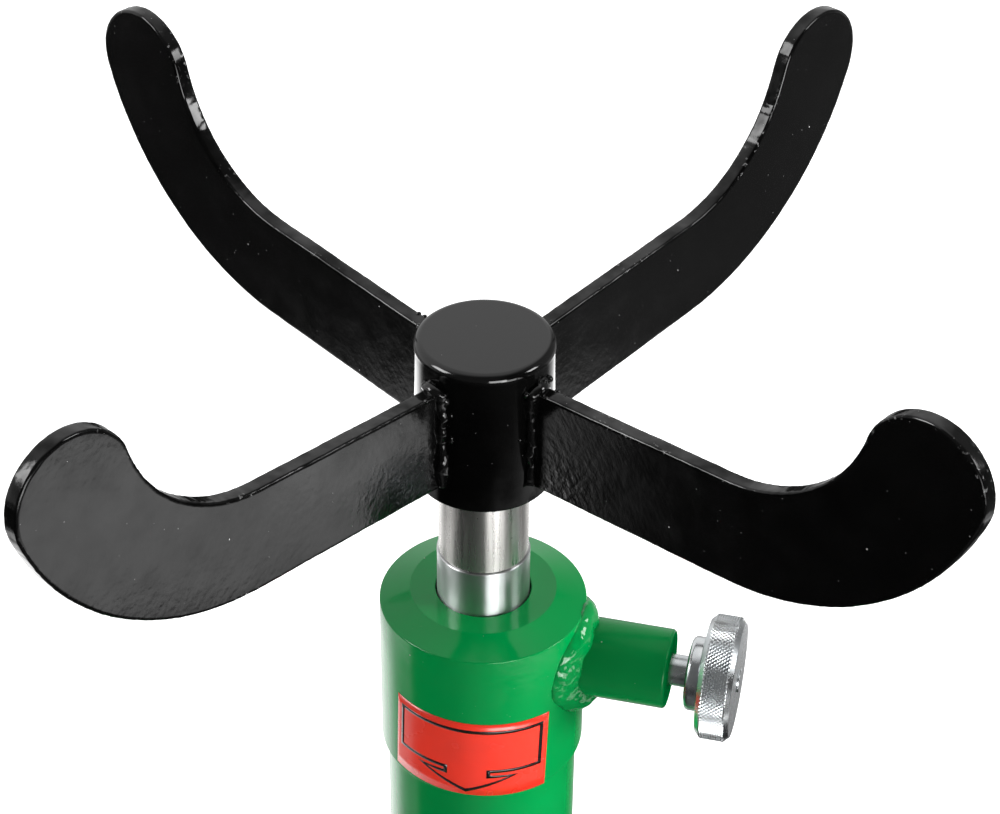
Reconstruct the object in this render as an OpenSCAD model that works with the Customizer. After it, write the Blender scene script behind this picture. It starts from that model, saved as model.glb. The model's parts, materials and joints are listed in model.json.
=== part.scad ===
// Floor-standing hydraulic transmission jack with a four-hook saddle.
// Origin: on the floor under the ram's axis. +Z up, the foot pump faces -Y.

/* [Overall] */
// Height from the floor to the tips of the hooks, ram down
lowered_h = 1150; // [1000:5:1400]

/* [Saddle] */
// Diameter of the saddle hub
hub_d = 50; // [46:0.5:60]
// Height of the saddle hub
hub_h = 58.5; // [54:0.5:80]
// Rounding of the hub's top rim
hub_round = 2; // [0.5:0.1:4]
// Thickness of the arm plates
arm_t = 6; // [4:0.5:10]
// Height of an arm's bar, across its slope
arm_h = 41; // [30:0.5:43]
// Depth of the arm's top edge below the hub's top, at the hub
arm_drop = 9.5; // [2:0.5:13]
// Upward slope of the bar in degrees
arm_rise = 4.6; // [0:0.1:8]
// Distance from the axis to the centre of the hook's hollow
hollow_at = 104; // [95:1:120]
// Radius of the hook's hollow
hollow_r = 58.5; // [45:0.5:62]
// Radius of the hook's tip
tip_r = 22.5; // [15:0.5:26]
// Direction of the tip's centre seen from the hollow's centre, in degrees
tip_a = -14.6; // [-25:0.1:-5]
// Radius of the weld beads between arms and hub
arm_weld_r = 3.5; // [1:0.1:5]
// Diameter of the turned stem below the hub
stem_d = 33.2; // [28:0.1:34]
// Length of stem that shows below the hub
stem_show = 34.8; // [20:0.1:60]
// Length of stem inside the hub
stem_in = 40; // [20:0.5:50]
// Diameter of the spigot that turns in the ram
spigot_d = 22; // [16:0.5:26]
// Length of the spigot
spigot_l = 60; // [30:1:90]

/* [Ram] */
// Diameter of the plated ram
ram_d = 34.5; // [34:0.1:36]
// Length of ram that shows above the collar when it is down
ram_show = 19.4; // [10:0.1:60]
// Bore of the pressure cylinder
cyl_bore = 45; // [44:0.5:50]
// Wall of the pressure cylinder
cyl_wall = 4.5; // [3:0.5:5]
// Length of the piston
piston_l = 30; // [20:1:50]
// Height of the nut under the piston
piston_nut_h = 10; // [6:0.5:16]
// Diameter of the ram's end that carries the piston
ram_end_d = 24; // [16:0.5:26]
// Length of the sleeve that ends the ram's travel
stop_l = 25; // [10:1:80]

/* [Collar] */
// Diameter of the collar
collar_d = 77.5; // [77:0.1:84]
// Height of the collar
collar_h = 71.4; // [68:0.1:100]
// Diameter of the flat ring on the collar's top
collar_flat_d = 54.7; // [50:0.1:70]
// Fall of the cone outside that ring
collar_cone_h = 4.3; // [1:0.1:6]
// Gap round the ram in the collar's mouth
mouth_gap = 0.6; // [0.3:0.05:1.5]
// Diameter of the reservoir tube
tube_d = 72.6; // [71:0.1:73]
// Wall of the reservoir tube
tube_wall = 3; // [2:0.1:4]

/* [Clamp screw] */
// Direction of the clamp screw, in degrees from +X
clamp_a = -15.7; // [-40:0.1:40]
// Depth of the screw's axis below the collar's top
clamp_drop = 25.7; // [22:0.1:28]
// Diameter of the welded boss
boss_d = 30; // [24:0.5:34]
// Distance from the ram's axis to the boss's face
boss_reach = 72.3; // [60:0.1:90]
// Radius of the weld bead round the boss
boss_weld_r = 6.5; // [3:0.1:8]
// Diameter of the screw's thread
screw_d = 12; // [8:1:14]
// Gap between the boss's face and the screw's shoulder
screw_gap = 6.9; // [6:0.1:15]
// Diameter of the shoulder
shoulder_d = 28; // [18:0.5:32]
// Thickness of the shoulder
shoulder_t = 5.8; // [3:0.1:10]
// Diameter of the knurled disc
knob_d = 47; // [36:0.5:60]
// Thickness of the knurled disc
knob_t = 12.8; // [8:0.1:20]
// Chamfer on the disc's rims
knob_chamfer = 1.6; // [0.5:0.1:3]

/* [Label] */
// Height of the label
label_h = 36; // [20:0.5:40]
// Width of the label, measured straight across
label_w = 56.4; // [30:0.5:62]
// Direction that the label faces, in degrees from +X
label_a = -100.1; // [-120:0.1:-90]
// Turn of the label on the collar, in degrees
label_turn = -2.3; // [-3:0.1:3]

/* [Base] */
// Distance from the ram's axis to each castor's swivel axis
castor_reach = 330; // [280:5:420]
// Width of a leg's tube
leg_w = 50; // [44:1:60]
// Height of a leg's tube
leg_h = 30; // [24:1:50]
// Wall of a leg's tube
leg_wall = 3; // [2:0.5:5]
// Length of leg past the castor's axis
leg_over = 28; // [26:1:50]
// Thickness of the base plate
plate_t = 10; // [6:0.5:16]
// Width of the pump block
block_w = 116; // [110:1:140]
// Height of the pump block
block_h = 56; // [52:1:90]
// Chamfer on the block's upright corners
block_chamfer = 20; // [10:1:30]

/* [Castors] */
// Diameter of a wheel
wheel_d = 75; // [60:1:90]
// Width of a wheel's tread
wheel_w = 26; // [20:1:34]
// Distance from the swivel axis back to the axle
wheel_trail = 25; // [15:1:30]
// Gap between the wheel and the fork's crown
wheel_clear = 9; // [7:0.5:20]
// Thickness of the fork's plates
fork_t = 3; // [2:0.5:5]
// Height of the swivel race
race_h = 12; // [8:0.5:20]
// Diameter of the swivel stem
pivot_d = 12; // [10:0.5:14]
// Diameter of the axle
axle_d = 8; // [6:0.5:12]

/* [Foot pump] */
// Distance from the ram's axis to the pump's axis
pump_at = 100; // [96:1:112]
// Diameter of the pump's plunger
plunger_d = 18; // [14:0.5:20]
// Length of the pedal's inner arm, from its pivot to the plunger's pin
lever_arm = 45; // [38:0.5:46]
// Swing of the pedal in degrees
swing = 25; // [15:1:28]
// Distance from the pivot out to the middle of the tread
tread_at = 185; // [160:1:190]
// Depth of the tread below the pivot with the pedal up
tread_drop = 45; // [20:1:60]
// Width of the tread
tread_w = 80; // [50:1:110]
// Length of the tread
tread_l = 76; // [50:1:90]
// Thickness of the pedal's bar
lever_t = 12; // [8:0.5:16]
// Diameter of the pivot pin
pivot_pin_d = 12; // [8:0.5:14]
// Diameter of the plunger's cross pin
cross_pin_d = 10; // [6:0.5:12]
// Length of the return spring with the pedal up
spring_l = 50; // [45:1:60]
// Diameter of the spring's wire
wire_d = 3; // [2:0.1:3.2]
// Outer diameter of the spring
spring_d = 30; // [28:0.5:32]
// Curls of the spring
spring_curls = 6; // [4:1:8]

/* [Release valve] */
// Height of the valve's axis above the block's foot
release_up = 30; // [24:1:32]
// Diameter of the valve's spindle
spindle_d = 14; // [10:0.5:16]
// Diameter of the valve's knob
release_knob_d = 38; // [30:1:44]
// Thickness of the valve's knob
release_knob_t = 18; // [10:1:30]

/* [Carrying handle] */
// Height of the handle's middle above the floor
handle_z = 660; // [500:5:800]
// Length of the handle's grip bar between its bends
handle_l = 130; // [100:1:200]
// Distance from the reservoir tube to the middle of the grip bar
handle_out = 60; // [45:1:80]
// Diameter of the handle's bar
handle_d = 16; // [12:0.5:20]
// Thickness of the rubber grip
grip_t = 4; // [2:0.5:8]

/* [Fits] */
// Radial clearance where one piece turns or slides in another
run_fit = 0.05; // [0.02:0.01:0.09]
// Gap under a bolt's head or nut
seat_gap = 0.05; // [0.02:0.01:0.09]
// Gap between moving pieces that only come close
body_gap = 0.3; // [0.3:0.05:0.5]
// Radial clearance round a bolt in its hole
bolt_gap = 0.5; // [0.2:0.1:1]

/* [Hidden] */
$fn = 64;
// Overrun of every cut
over = 1;
GREEN = "#00964b";
BLACK = "#141414";
STEEL = "#b4b7ba";
ZINC = "#a3a7ab";
CHROME = "#d2d5d8";
BRONZE = "#b08d57";
RUBBER = "#222222";
RED = "#e63a1e";

QUARTERS = [45, 135, 225, 315];
// Turn of each welded arm away from its even quarter, in degrees
ARM_SET = [0.2, -2, 0.7, 0];
RIGHT_TURN = 90;
HALF_TURN = 180;
FULL_TURN = 360;
HEX = 6;

// Outline of an arm: distance from the axis, then height above the hub's top
along = [cos(arm_rise), sin(arm_rise)];
upward = [-sin(arm_rise), cos(arm_rise)];
bar_top = [hub_d / 2, -arm_drop];
bar_run = (hollow_at - hub_d / 2 + hollow_r * sin(arm_rise)) / cos(arm_rise);
hollow_c = bar_top + bar_run * along + hollow_r * upward;
tip_c = hollow_c + (hollow_r + tip_r) * [cos(tip_a), sin(tip_a)];
bar_foot = bar_top - arm_h * upward;
heel = bar_foot + bar_run * along;
tip_along = (tip_c - heel) * along;
tip_above = (tip_c - heel) * upward;
outer_r = (tip_along ^ 2 + tip_above ^ 2 - tip_r ^ 2) / (2 * (tip_above - tip_r));
outer_c = heel + outer_r * upward;
outer_a = atan2(tip_c[1] - outer_c[1], tip_c[0] - outer_c[0]);

// Heights above the floor, from the hooks down
hub_top = lowered_h - tip_c[1] - tip_r;
hub_foot = hub_top - hub_h;
ram_top = hub_foot - stem_show;
collar_top = ram_top - ram_show;
collar_z = collar_top - collar_h;
clamp_z = collar_top - clamp_drop;

// Heights above the floor, from the wheels up
axle_z = wheel_d / 2;
crown_z = wheel_d + wheel_clear;
crown_t = 4;
leg_z = crown_z + crown_t + body_gap + race_h;
plate_z = leg_z + leg_h;
block_z = plate_z + plate_t;
block_top = block_z + block_h;

// Cylinder, reservoir and what seats them
seat_depth = 8;
gasket_t = 1.5;
seat_z = block_top - seat_depth;
cyl_d = cyl_bore + 2 * cyl_wall;
tube_id = tube_d - 2 * tube_wall;
tube_lap = 9;
shoulder_z = collar_z + tube_lap;
nose_l = 6;
nose_z = shoulder_z - nose_l;
piston_nut_z = seat_z + body_gap;
piston_z = piston_nut_z + piston_nut_h;
piston_top = piston_z + piston_l;
ram_travel = nose_z - body_gap - piston_top - stop_l;
piston_d = cyl_bore - 2 * run_fit;
nut_lip = 1.5;
piston_seal_h = 7;
piston_seal_t = 4;
stop_wall = 2.8;

// Collar: grooves for the bush and seals, measured from the collar's foot
mouth_d = ram_d + 2 * mouth_gap;
bush_wall = 2.6;
bush_d = ram_d + 2 * run_fit + 2 * bush_wall;
bush_l = 22;
seal_t = 3.6;
seal_d = ram_d + 2 * run_fit + 2 * seal_t;
rod_seal_z = tube_lap - nose_l + bush_l + 2;
rod_seal_h = 7;
wiper_down = 9;
wiper_h = 6;

// Clamp boss and screw
boss_chamfer = 1;
boss_weld_out = 1;
pad_l = 6;
pad_start = ram_d / 2 + body_gap;
screw_start = pad_start + pad_l;
shoulder_start = boss_reach + screw_gap;
knob_start = shoulder_start + shoulder_t;
rivet_d = screw_d - 3;
rivet_out = 0.8;
label_t = 0.3;
label_up = 1;

// Legs, plate and their fixings
leg_gap = 7;
leg_start = leg_w / 2 + leg_gap;
leg_end = castor_reach + leg_over;
cap_t = 4;
cap_in = leg_over / 3;
leg_bolt_d = 10;
leg_bolt_af = 17;
leg_bolt_head = 6.4;
leg_nut_h = 8;
leg_bolt_out = 3;
leg_bolt_pitch = 30;
block_corner_r = (block_w - block_chamfer) / sqrt(2);
leg_bolt_r = block_corner_r + leg_bolt_af;
plate_d = 2 * (leg_bolt_r + leg_bolt_pitch + leg_bolt_d * 1.5);
block_screw_d = 8;
block_screw_in = 12;
block_screw_head_d = 13;
block_screw_head = 8;
block_screw_r = leg_w / sqrt(2) + block_screw_head_d;

// Castors
pivot_head_h = 4;
pivot_head_d = pivot_d + 10;
race_d = 46;
washer_t = 2.5;
pivot_nut_h = 10;
pivot_nut_af = pivot_d * 1.5;
pivot_out = 3;
wheel_side = 2;
cheek_y = wheel_w / 2 + wheel_side;
crown_lip = 16;
crown_d = 2 * (cheek_y + fork_t) + crown_lip;
cheek_top = 2 * sqrt((crown_d / 2) ^ 2 - (cheek_y + fork_t) ^ 2);
eye_r = axle_d / 2 + 8;
axle_af = axle_d + 5;
axle_head = 5;
wheel_hub_r = axle_d / 2 + 9;
wheel_rim_r = wheel_d / 2 - 9;
wheel_web = 8;
tread_round = 3;

// Pump block's passages
pump_boss_w = 56;
pump_boss_out = 24;
bore_floor = 14;
bore_z = block_z + bore_floor;
gallery_d = 6;
gallery_z = bore_z + gallery_d / 2;
gland_d = plunger_d + 10;
gland_in = 10;
gland_af = gland_d + 8;
gland_head = 8;
pump_seal_h = 5;
annulus_r = (cyl_d + tube_id) / 4;
check_d = 12;
pocket_d = check_d + 2 * run_fit;
check_l = 14;
suction_ball_d = 8;
delivery_ball_d = 10;
relief_ball_d = 7;
valve_seat_d = 5;
face_x = pump_boss_w / 2;
face_y = pump_at + pump_boss_out;
suction_x = face_x - check_l / 2;
suction_y = sqrt(annulus_r ^ 2 - suction_x ^ 2);
delivery_x = cyl_bore / 2 - gallery_d;
// Distance from a round seat's edge plane to the centre of the ball that closes it
function seated(ball, hole) = sqrt(ball ^ 2 - hole ^ 2) / 2 + body_gap;
plug_in = 4;
plug_head = 5;
plug_af = 17;
delivery_y = block_w / 2 + 0.7 * plug_af;

// Pump plunger, spring and pedal
gland_top = block_top + gland_head;
pin_in = lever_arm * cos(swing / 2);
pin_rise = lever_arm * sin(swing / 2);
pump_stroke = 2 * pin_rise;
seat_t = 4;
spring_seat_d = spring_d + 4;
spring_seat_z = gland_top + spring_l;
lever_eye_r = pivot_pin_d / 2 + 8;
pin_lift = 5;
pin_z = spring_seat_z + seat_t + lever_eye_r + pin_lift;
pivot_z = pin_z - pin_rise;
pivot_at = pump_at - pin_in;
fork_ear = 7;
fork_w = lever_t + 2 * body_gap + 2 * fork_ear;
plunger_foot = bore_z + pump_stroke + over;
ear_t = 6;
ear_x = lever_t / 2 + body_gap;
bracket_web = 5;
bracket_gap = 3;
bracket_front = pin_in - gland_af / 2 - bracket_gap;
pin_head = 3;
slot_w = cross_pin_d + 2 * body_gap;
slot_mid = (lever_arm + pin_in) / 2;
slot_half = (lever_arm - pin_in) / 2 + body_gap;
elbow = 1.8 * lever_arm * [cos(swing / 2), sin(swing / 2)];
elbow_r = lever_eye_r * 0.8;
strap_in = 0.4;
tread_root_r = lever_eye_r * 0.6;
tread_t = 5;
pad_t = 4;
pad_rib = 2;
pad_edge = 4;
pad_ribs = 5;
pad_root = 1.6 * tread_root_r;

// Spring: a helix with a straight stub at each end
SPRING_STEPS = 8;
SPRING_SIDES = 6;
spring_r = (spring_d - wire_d) / 2;
spring_rings = spring_curls * SPRING_STEPS;
spring_rise = spring_l - 4 * wire_d;

// Release valve
release_z = block_z + release_up;
release_in = 30;
release_ball_d = 9;
release_ball_x = block_w / 2 - release_in + seated(release_ball_d, gallery_d);
spindle_start = release_ball_x + release_ball_d / 2;
spindle_end = block_w / 2 + 30;
knob_lobes = 6;

// Handle and filler plug
handle_bend = 2 * handle_d;
filler_down = 60;
filler_boss_d = 26;
filler_boss_out = 8;
filler_d = 14;
filler_af = 19;
filler_head = 8;

// Shared shapes

module ring(od, id, h) {
    difference() {
        cylinder(d = od, h = h);
        translate([0, 0, -over]) cylinder(d = id, h = h + 2 * over);
    }
}

module hexagon(af, h) {
    cylinder(d = af / cos(HALF_TURN / HEX), h = h, $fn = HEX);
}

// Hexagon nut standing on z = 0
module nut(af, bore, h) {
    difference() {
        hexagon(af, h);
        translate([0, 0, -over]) cylinder(d = bore, h = h + 2 * over);
    }
}

// Hexagon bolt: its head stands on z = 0 and its shank hangs down
module bolt(d, l, af, head) {
    hexagon(af, head);
    translate([0, 0, -l]) cylinder(d = d, h = l + head / 2);
}

// Flat strap between two round eyes, each given as a centre and a radius, a little
// narrower than its eyes so that its edges meet their rims
module strap(p, pr, q, qr) {
    d = norm(q - p);
    a = acos((pr - qr) / d);
    m = pr - strap_in;
    n = qr - strap_in;
    translate(p) rotate(atan2(q[1] - p[1], q[0] - p[0]))
        polygon([m * [cos(a), -sin(a)], [d, 0] + n * [cos(a), -sin(a)],
            [d, 0] + n * [cos(a), sin(a)], m * [cos(a), sin(a)]]);
}

// Places a child on the clamp screw's axis, with its z axis pointing outwards
module on_clamp_axis(s = 0) {
    rotate([0, 0, clamp_a]) translate([0, 0, clamp_z]) rotate([0, RIGHT_TURN, 0])
        translate([0, 0, s]) children();
}

// Places a child flat in the pedal's plane: x outwards to -Y, y up, from the pivot
module in_pedal_plane(w) {
    translate([0, -pivot_at, pivot_z]) rotate([RIGHT_TURN, 0, -RIGHT_TURN])
        linear_extrude(w, center = true) children();
}

// Base

module plate_hole(r, d) {
    translate([r, 0, -over]) cylinder(d = d, h = plate_t + 2 * over);
}

module base_plate() {
    color(GREEN) translate([0, 0, plate_z]) difference() {
        cylinder(d = plate_d, h = plate_t);
        for (a = QUARTERS, k = [0, 1]) rotate(a)
            plate_hole(leg_bolt_r + k * leg_bolt_pitch, leg_bolt_d + 2 * bolt_gap);
        for (a = QUARTERS) rotate(a + QUARTERS[0])
            plate_hole(block_screw_r, block_screw_d + 2 * bolt_gap);
    }
}

module leg_hole(r, d) {
    translate([r, 0, leg_z - over]) cylinder(d = d, h = leg_h + 2 * over);
}

module leg(i) {
    color(GREEN) rotate(QUARTERS[i]) difference() {
        translate([leg_start, -leg_w / 2, leg_z]) cube([leg_end - leg_start, leg_w, leg_h]);
        translate([leg_start - over, leg_wall - leg_w / 2, leg_z + leg_wall])
            cube([leg_end - leg_start + 2 * over, leg_w - 2 * leg_wall, leg_h - 2 * leg_wall]);
        for (k = [0, 1])
            leg_hole(leg_bolt_r + k * leg_bolt_pitch, leg_bolt_d + 2 * bolt_gap);
        leg_hole(castor_reach, pivot_d + 2 * bolt_gap);
    }
}

module leg_end_caps() {
    spigot = [cap_in, leg_w - 2 * leg_wall - 2 * body_gap, leg_h - 2 * leg_wall - 2 * body_gap];
    color(RUBBER) for (a = QUARTERS) rotate(a) {
        translate([leg_end, -leg_w / 2, leg_z]) cube([cap_t, leg_w, leg_h]);
        translate([leg_end - cap_in, -spigot[1] / 2, leg_z + leg_wall + body_gap])
            cube(spigot + [cap_t / 2, 0, 0]);
    }
}

module leg_bolts() {
    shank = plate_t + leg_h + leg_nut_h + leg_bolt_out;
    color(ZINC) for (a = QUARTERS, k = [0, 1]) rotate(a)
        translate([leg_bolt_r + k * leg_bolt_pitch, 0, 0]) {
            translate([0, 0, block_z]) bolt(leg_bolt_d, shank, leg_bolt_af, leg_bolt_head);
            translate([0, 0, leg_z - leg_nut_h])
                nut(leg_bolt_af, leg_bolt_d + 2 * run_fit, leg_nut_h);
        }
}

module castor_stems() {
    head_z = crown_z - body_gap - pivot_head_h;
    nut_z = plate_z + washer_t + seat_gap;
    top = nut_z + pivot_nut_h + pivot_out;
    color(ZINC) for (a = QUARTERS) rotate(a) translate([castor_reach, 0, 0]) {
        translate([0, 0, head_z]) cylinder(d = pivot_head_d, h = pivot_head_h);
        translate([0, 0, head_z]) cylinder(d = pivot_d, h = top - head_z);
        translate([0, 0, leg_z - race_h]) cylinder(d = race_d, h = race_h);
        translate([0, 0, plate_z]) ring(2 * pivot_d, pivot_d + 2 * run_fit, washer_t);
        translate([0, 0, nut_z]) nut(pivot_nut_af, pivot_d + 2 * run_fit, pivot_nut_h);
    }
}

module block_outline() {
    w = block_w / 2;
    c = w - block_chamfer;
    polygon([[w, -c], [w, c], [c, w], [-c, w], [-w, c], [-w, -c], [-c, -w], [c, -w]]);
    translate([-pump_boss_w / 2, -pump_at - pump_boss_out])
        square([pump_boss_w, pump_at + pump_boss_out]);
}

// Bore that runs from a point along a direction turned from +X
module gallery(p, a, l, d) {
    translate(p) rotate([0, RIGHT_TURN, a]) cylinder(d = d, h = l);
}

module pump_block() {
    color(GREEN) difference() {
        translate([0, 0, block_z]) linear_extrude(block_h) block_outline();
        translate([0, 0, seat_z]) cylinder(d = cyl_d + 2 * run_fit, h = seat_depth + over);
        translate([0, 0, seat_z])
            ring(tube_d + 2 * run_fit, tube_id - 2 * run_fit, seat_depth + over);
        translate([0, -pump_at, bore_z])
            cylinder(d = plunger_d + 2 * run_fit, h = block_h);
        translate([0, -pump_at, block_top - gland_in - pump_seal_h])
            cylinder(d = gland_d + 2 * run_fit, h = block_h);
        // Chamber to delivery valve, then on to the cylinder's floor
        gallery([0, -pump_at, gallery_z], RIGHT_TURN, pump_at - delivery_y, gallery_d);
        gallery([0, -delivery_y, gallery_z], HALF_TURN, face_x, valve_seat_d);
        gallery([-gallery_d, -delivery_y, gallery_z], HALF_TURN, face_x, pocket_d);
        gallery([-delivery_x, -delivery_y, gallery_z], RIGHT_TURN, delivery_y, gallery_d);
        translate([-delivery_x, 0, gallery_z - gallery_d / 2])
            cylinder(d = gallery_d, h = block_h);
        // Reservoir to suction valve and chamber
        gallery([0, -pump_at, gallery_z], 0, face_x, valve_seat_d);
        gallery([check_l, -pump_at, gallery_z], 0, face_x, pocket_d);
        gallery([suction_x, -pump_at, gallery_z], RIGHT_TURN, pump_at - suction_y, gallery_d);
        translate([suction_x, -suction_y, gallery_z - gallery_d / 2])
            cylinder(d = gallery_d, h = block_h);
        // Relief valve in the front face
        gallery([0, -face_y - over, gallery_z], RIGHT_TURN, check_l + over, pocket_d);
        gallery([0, -face_y, gallery_z], RIGHT_TURN, pump_boss_out, gallery_d / 2);
        // Release valve: cylinder's floor to the spindle's bore, and back to the reservoir
        translate([0, 0, release_z - gallery_d / 2]) cylinder(d = gallery_d, h = block_h);
        gallery([0, 0, release_z], 0, block_w / 2, gallery_d);
        gallery([block_w / 2 - release_in, 0, release_z], 0, block_w, spindle_d + 2 * run_fit);
        translate([annulus_r, 0, release_z]) cylinder(d = gallery_d, h = block_h);
        for (a = QUARTERS) rotate(a + QUARTERS[0]) translate([block_screw_r, 0, block_z - over])
            cylinder(d = block_screw_d + 2 * run_fit, h = block_screw_in + 2 * over);
    }
}

module block_screws() {
    color(ZINC) for (a = QUARTERS) rotate(a + QUARTERS[0]) translate([block_screw_r, 0, plate_z]) {
        translate([0, 0, -block_screw_head])
            cylinder(d = block_screw_head_d, h = block_screw_head);
        translate([0, 0, -over]) cylinder(d = block_screw_d, h = plate_t + block_screw_in + over);
    }
}

// Column

module pressure_cylinder() {
    z = seat_z + gasket_t;
    color(STEEL) translate([0, 0, z]) ring(cyl_d, cyl_bore, shoulder_z - z);
}

module reservoir_tube() {
    z = seat_z + gasket_t;
    color(GREEN) difference() {
        union() {
            translate([0, 0, z]) cylinder(d = tube_d, h = shoulder_z - z);
            translate([0, 0, collar_z - filler_down]) rotate([-RIGHT_TURN, 0, 0])
                cylinder(d = filler_boss_d, h = tube_d / 2 + filler_boss_out);
        }
        translate([0, 0, z - over]) cylinder(d = tube_id, h = shoulder_z - z + 2 * over);
        translate([0, 0, collar_z - filler_down]) rotate([-RIGHT_TURN, 0, 0])
            cylinder(d = filler_d + 2 * run_fit, h = tube_d);
    }
}

module tube_gaskets() {
    color(BRONZE) translate([0, 0, seat_z]) {
        ring(cyl_d, cyl_bore, gasket_t);
        ring(tube_d, tube_id, gasket_t);
    }
}

// Half section of the collar: radius, then height above its foot
module collar_section() {
    bush_z = tube_lap - nose_l;
    wiper_z = collar_h - wiper_down - wiper_h;
    polygon([
        [bush_d / 2, bush_z],
        [cyl_bore / 2 - run_fit, bush_z],
        [cyl_bore / 2 - run_fit, tube_lap],
        [tube_d / 2 + run_fit, tube_lap],
        [tube_d / 2 + run_fit, 0],
        [collar_d / 2, 0],
        [collar_d / 2, collar_h - collar_cone_h],
        [collar_flat_d / 2, collar_h],
        [mouth_d / 2, collar_h],
        [mouth_d / 2, wiper_z + wiper_h],
        [seal_d / 2, wiper_z + wiper_h],
        [seal_d / 2, wiper_z],
        [mouth_d / 2, wiper_z],
        [mouth_d / 2, rod_seal_z + rod_seal_h],
        [seal_d / 2, rod_seal_z + rod_seal_h],
        [seal_d / 2, rod_seal_z],
        [mouth_d / 2, rod_seal_z],
        [mouth_d / 2, bush_z + bush_l],
        [bush_d / 2, bush_z + bush_l]]);
}

module collar() {
    color(GREEN) difference() {
        translate([0, 0, collar_z]) rotate_extrude() collar_section();
        on_clamp_axis() cylinder(d = screw_d + 2 * run_fit, h = collar_d);
    }
}

module guide_bush() {
    color(BRONZE) translate([0, 0, nose_z]) ring(bush_d, ram_d + 2 * run_fit, bush_l);
}

module rod_seal() {
    color(RUBBER) translate([0, 0, collar_z + rod_seal_z])
        ring(seal_d, ram_d + 2 * run_fit, rod_seal_h);
}

module wiper_seal() {
    color(RUBBER) translate([0, 0, collar_top - wiper_down - wiper_h])
        ring(seal_d, ram_d + 2 * run_fit, wiper_h);
}

module collar_body() {
    translate([0, 0, collar_z]) cylinder(d = collar_d, h = collar_h);
}

module clamp_boss() {
    color(GREEN) difference() {
        on_clamp_axis() {
            cylinder(d = boss_d, h = boss_reach - boss_chamfer);
            translate([0, 0, boss_reach - boss_chamfer])
                cylinder(d1 = boss_d, d2 = boss_d - 2 * boss_chamfer, h = boss_chamfer);
        }
        collar_body();
        on_clamp_axis() cylinder(d = screw_d + 2 * run_fit, h = boss_reach + over);
    }
}

module boss_weld() {
    color(GREEN) difference() {
        on_clamp_axis(collar_d / 2 - boss_weld_out) rotate_extrude()
            translate([boss_d / 2 + boss_weld_out, 0]) circle(boss_weld_r);
        collar_body();
        on_clamp_axis() cylinder(d = boss_d, h = boss_reach);
    }
}

module collar_label() {
    color(RED) intersection() {
        translate([0, 0, collar_z]) ring(collar_d + 2 * label_t, collar_d + 2 * seat_gap,
            collar_h - collar_cone_h);
        rotate(label_a) translate([0, 0, collar_z + label_up + label_h / 2])
            rotate([label_turn, 0, 0]) translate([0, -label_w / 2, -label_h / 2])
                cube([collar_d, label_w, label_h]);
    }
}

module carry_handle() {
    x = tube_d / 2 + handle_out;
    color(BLACK) difference() {
        translate([0, 0, handle_z]) rotate(RIGHT_TURN) {
            translate([x, 0, -handle_l / 2]) cylinder(d = handle_d, h = handle_l);
            for (m = [0, 1]) mirror([0, 0, m]) translate([x - handle_bend, 0, handle_l / 2]) {
                rotate([RIGHT_TURN, 0, 0]) rotate_extrude(angle = RIGHT_TURN)
                    translate([handle_bend, 0]) circle(d = handle_d);
                translate([0, 0, handle_bend]) rotate([0, -RIGHT_TURN, 0])
                    cylinder(d = handle_d, h = x - handle_bend);
            }
        }
        translate([0, 0, handle_z - handle_l]) cylinder(d = tube_d, h = 2 * handle_l);
    }
}

module handle_grip() {
    color(RUBBER) translate([0, tube_d / 2 + handle_out, handle_z - handle_l / 2])
        ring(handle_d + 2 * grip_t, handle_d, handle_l);
}

module filler_plug() {
    color(ZINC) translate([0, tube_d / 2 + filler_boss_out, collar_z - filler_down])
        rotate([-RIGHT_TURN, 0, 0]) {
            hexagon(filler_af, filler_head);
            translate([0, 0, -filler_boss_out]) cylinder(d = filler_d, h = filler_boss_out + over);
        }
}

// Pump

module pump_gland_nut() {
    color(ZINC) translate([0, -pump_at, 0]) difference() {
        union() {
            translate([0, 0, block_top]) hexagon(gland_af, gland_head);
            translate([0, 0, block_top - gland_in])
                cylinder(d = gland_d, h = gland_in + gland_head / 2);
        }
        translate([0, 0, block_top - gland_in - over])
            cylinder(d = plunger_d + 2 * run_fit, h = block_h);
    }
}

module pump_seal() {
    color(RUBBER) translate([0, -pump_at, block_top - gland_in - pump_seal_h])
        ring(gland_d, plunger_d + 2 * run_fit, pump_seal_h);
}

module check_balls() {
    color(CHROME) {
        translate([check_l + seated(suction_ball_d, valve_seat_d), -pump_at, gallery_z])
            sphere(d = suction_ball_d);
        translate([-gallery_d - seated(delivery_ball_d, valve_seat_d), -delivery_y, gallery_z])
            sphere(d = delivery_ball_d);
        translate([0, check_l - face_y - seated(relief_ball_d, gallery_d / 2), gallery_z])
            sphere(d = relief_ball_d);
    }
}

// Plug with its face at x = 0, its head outside and a stem that holds the ball
module valve_plug(p, a, stem) {
    translate(p) rotate([0, RIGHT_TURN, a]) {
        hexagon(plug_af, plug_head);
        translate([0, 0, -plug_in]) cylinder(d = check_d, h = plug_in + plug_head / 2);
        translate([0, 0, -stem]) cylinder(d = check_d / 2, h = stem);
    }
}

// Length of stem that ends just short of a seated ball
function stem_l(depth, ball, hole) = depth - seated(ball, hole) - ball / 2 - body_gap;

module valve_plugs() {
    color(ZINC) {
        valve_plug([face_x, -pump_at, gallery_z], 0,
            stem_l(face_x - check_l, suction_ball_d, valve_seat_d));
        valve_plug([-face_x, -delivery_y, gallery_z], HALF_TURN,
            stem_l(face_x - gallery_d, delivery_ball_d, valve_seat_d));
        valve_plug([0, -face_y, gallery_z], -RIGHT_TURN,
            stem_l(check_l, relief_ball_d, gallery_d / 2));
    }
}

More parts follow.
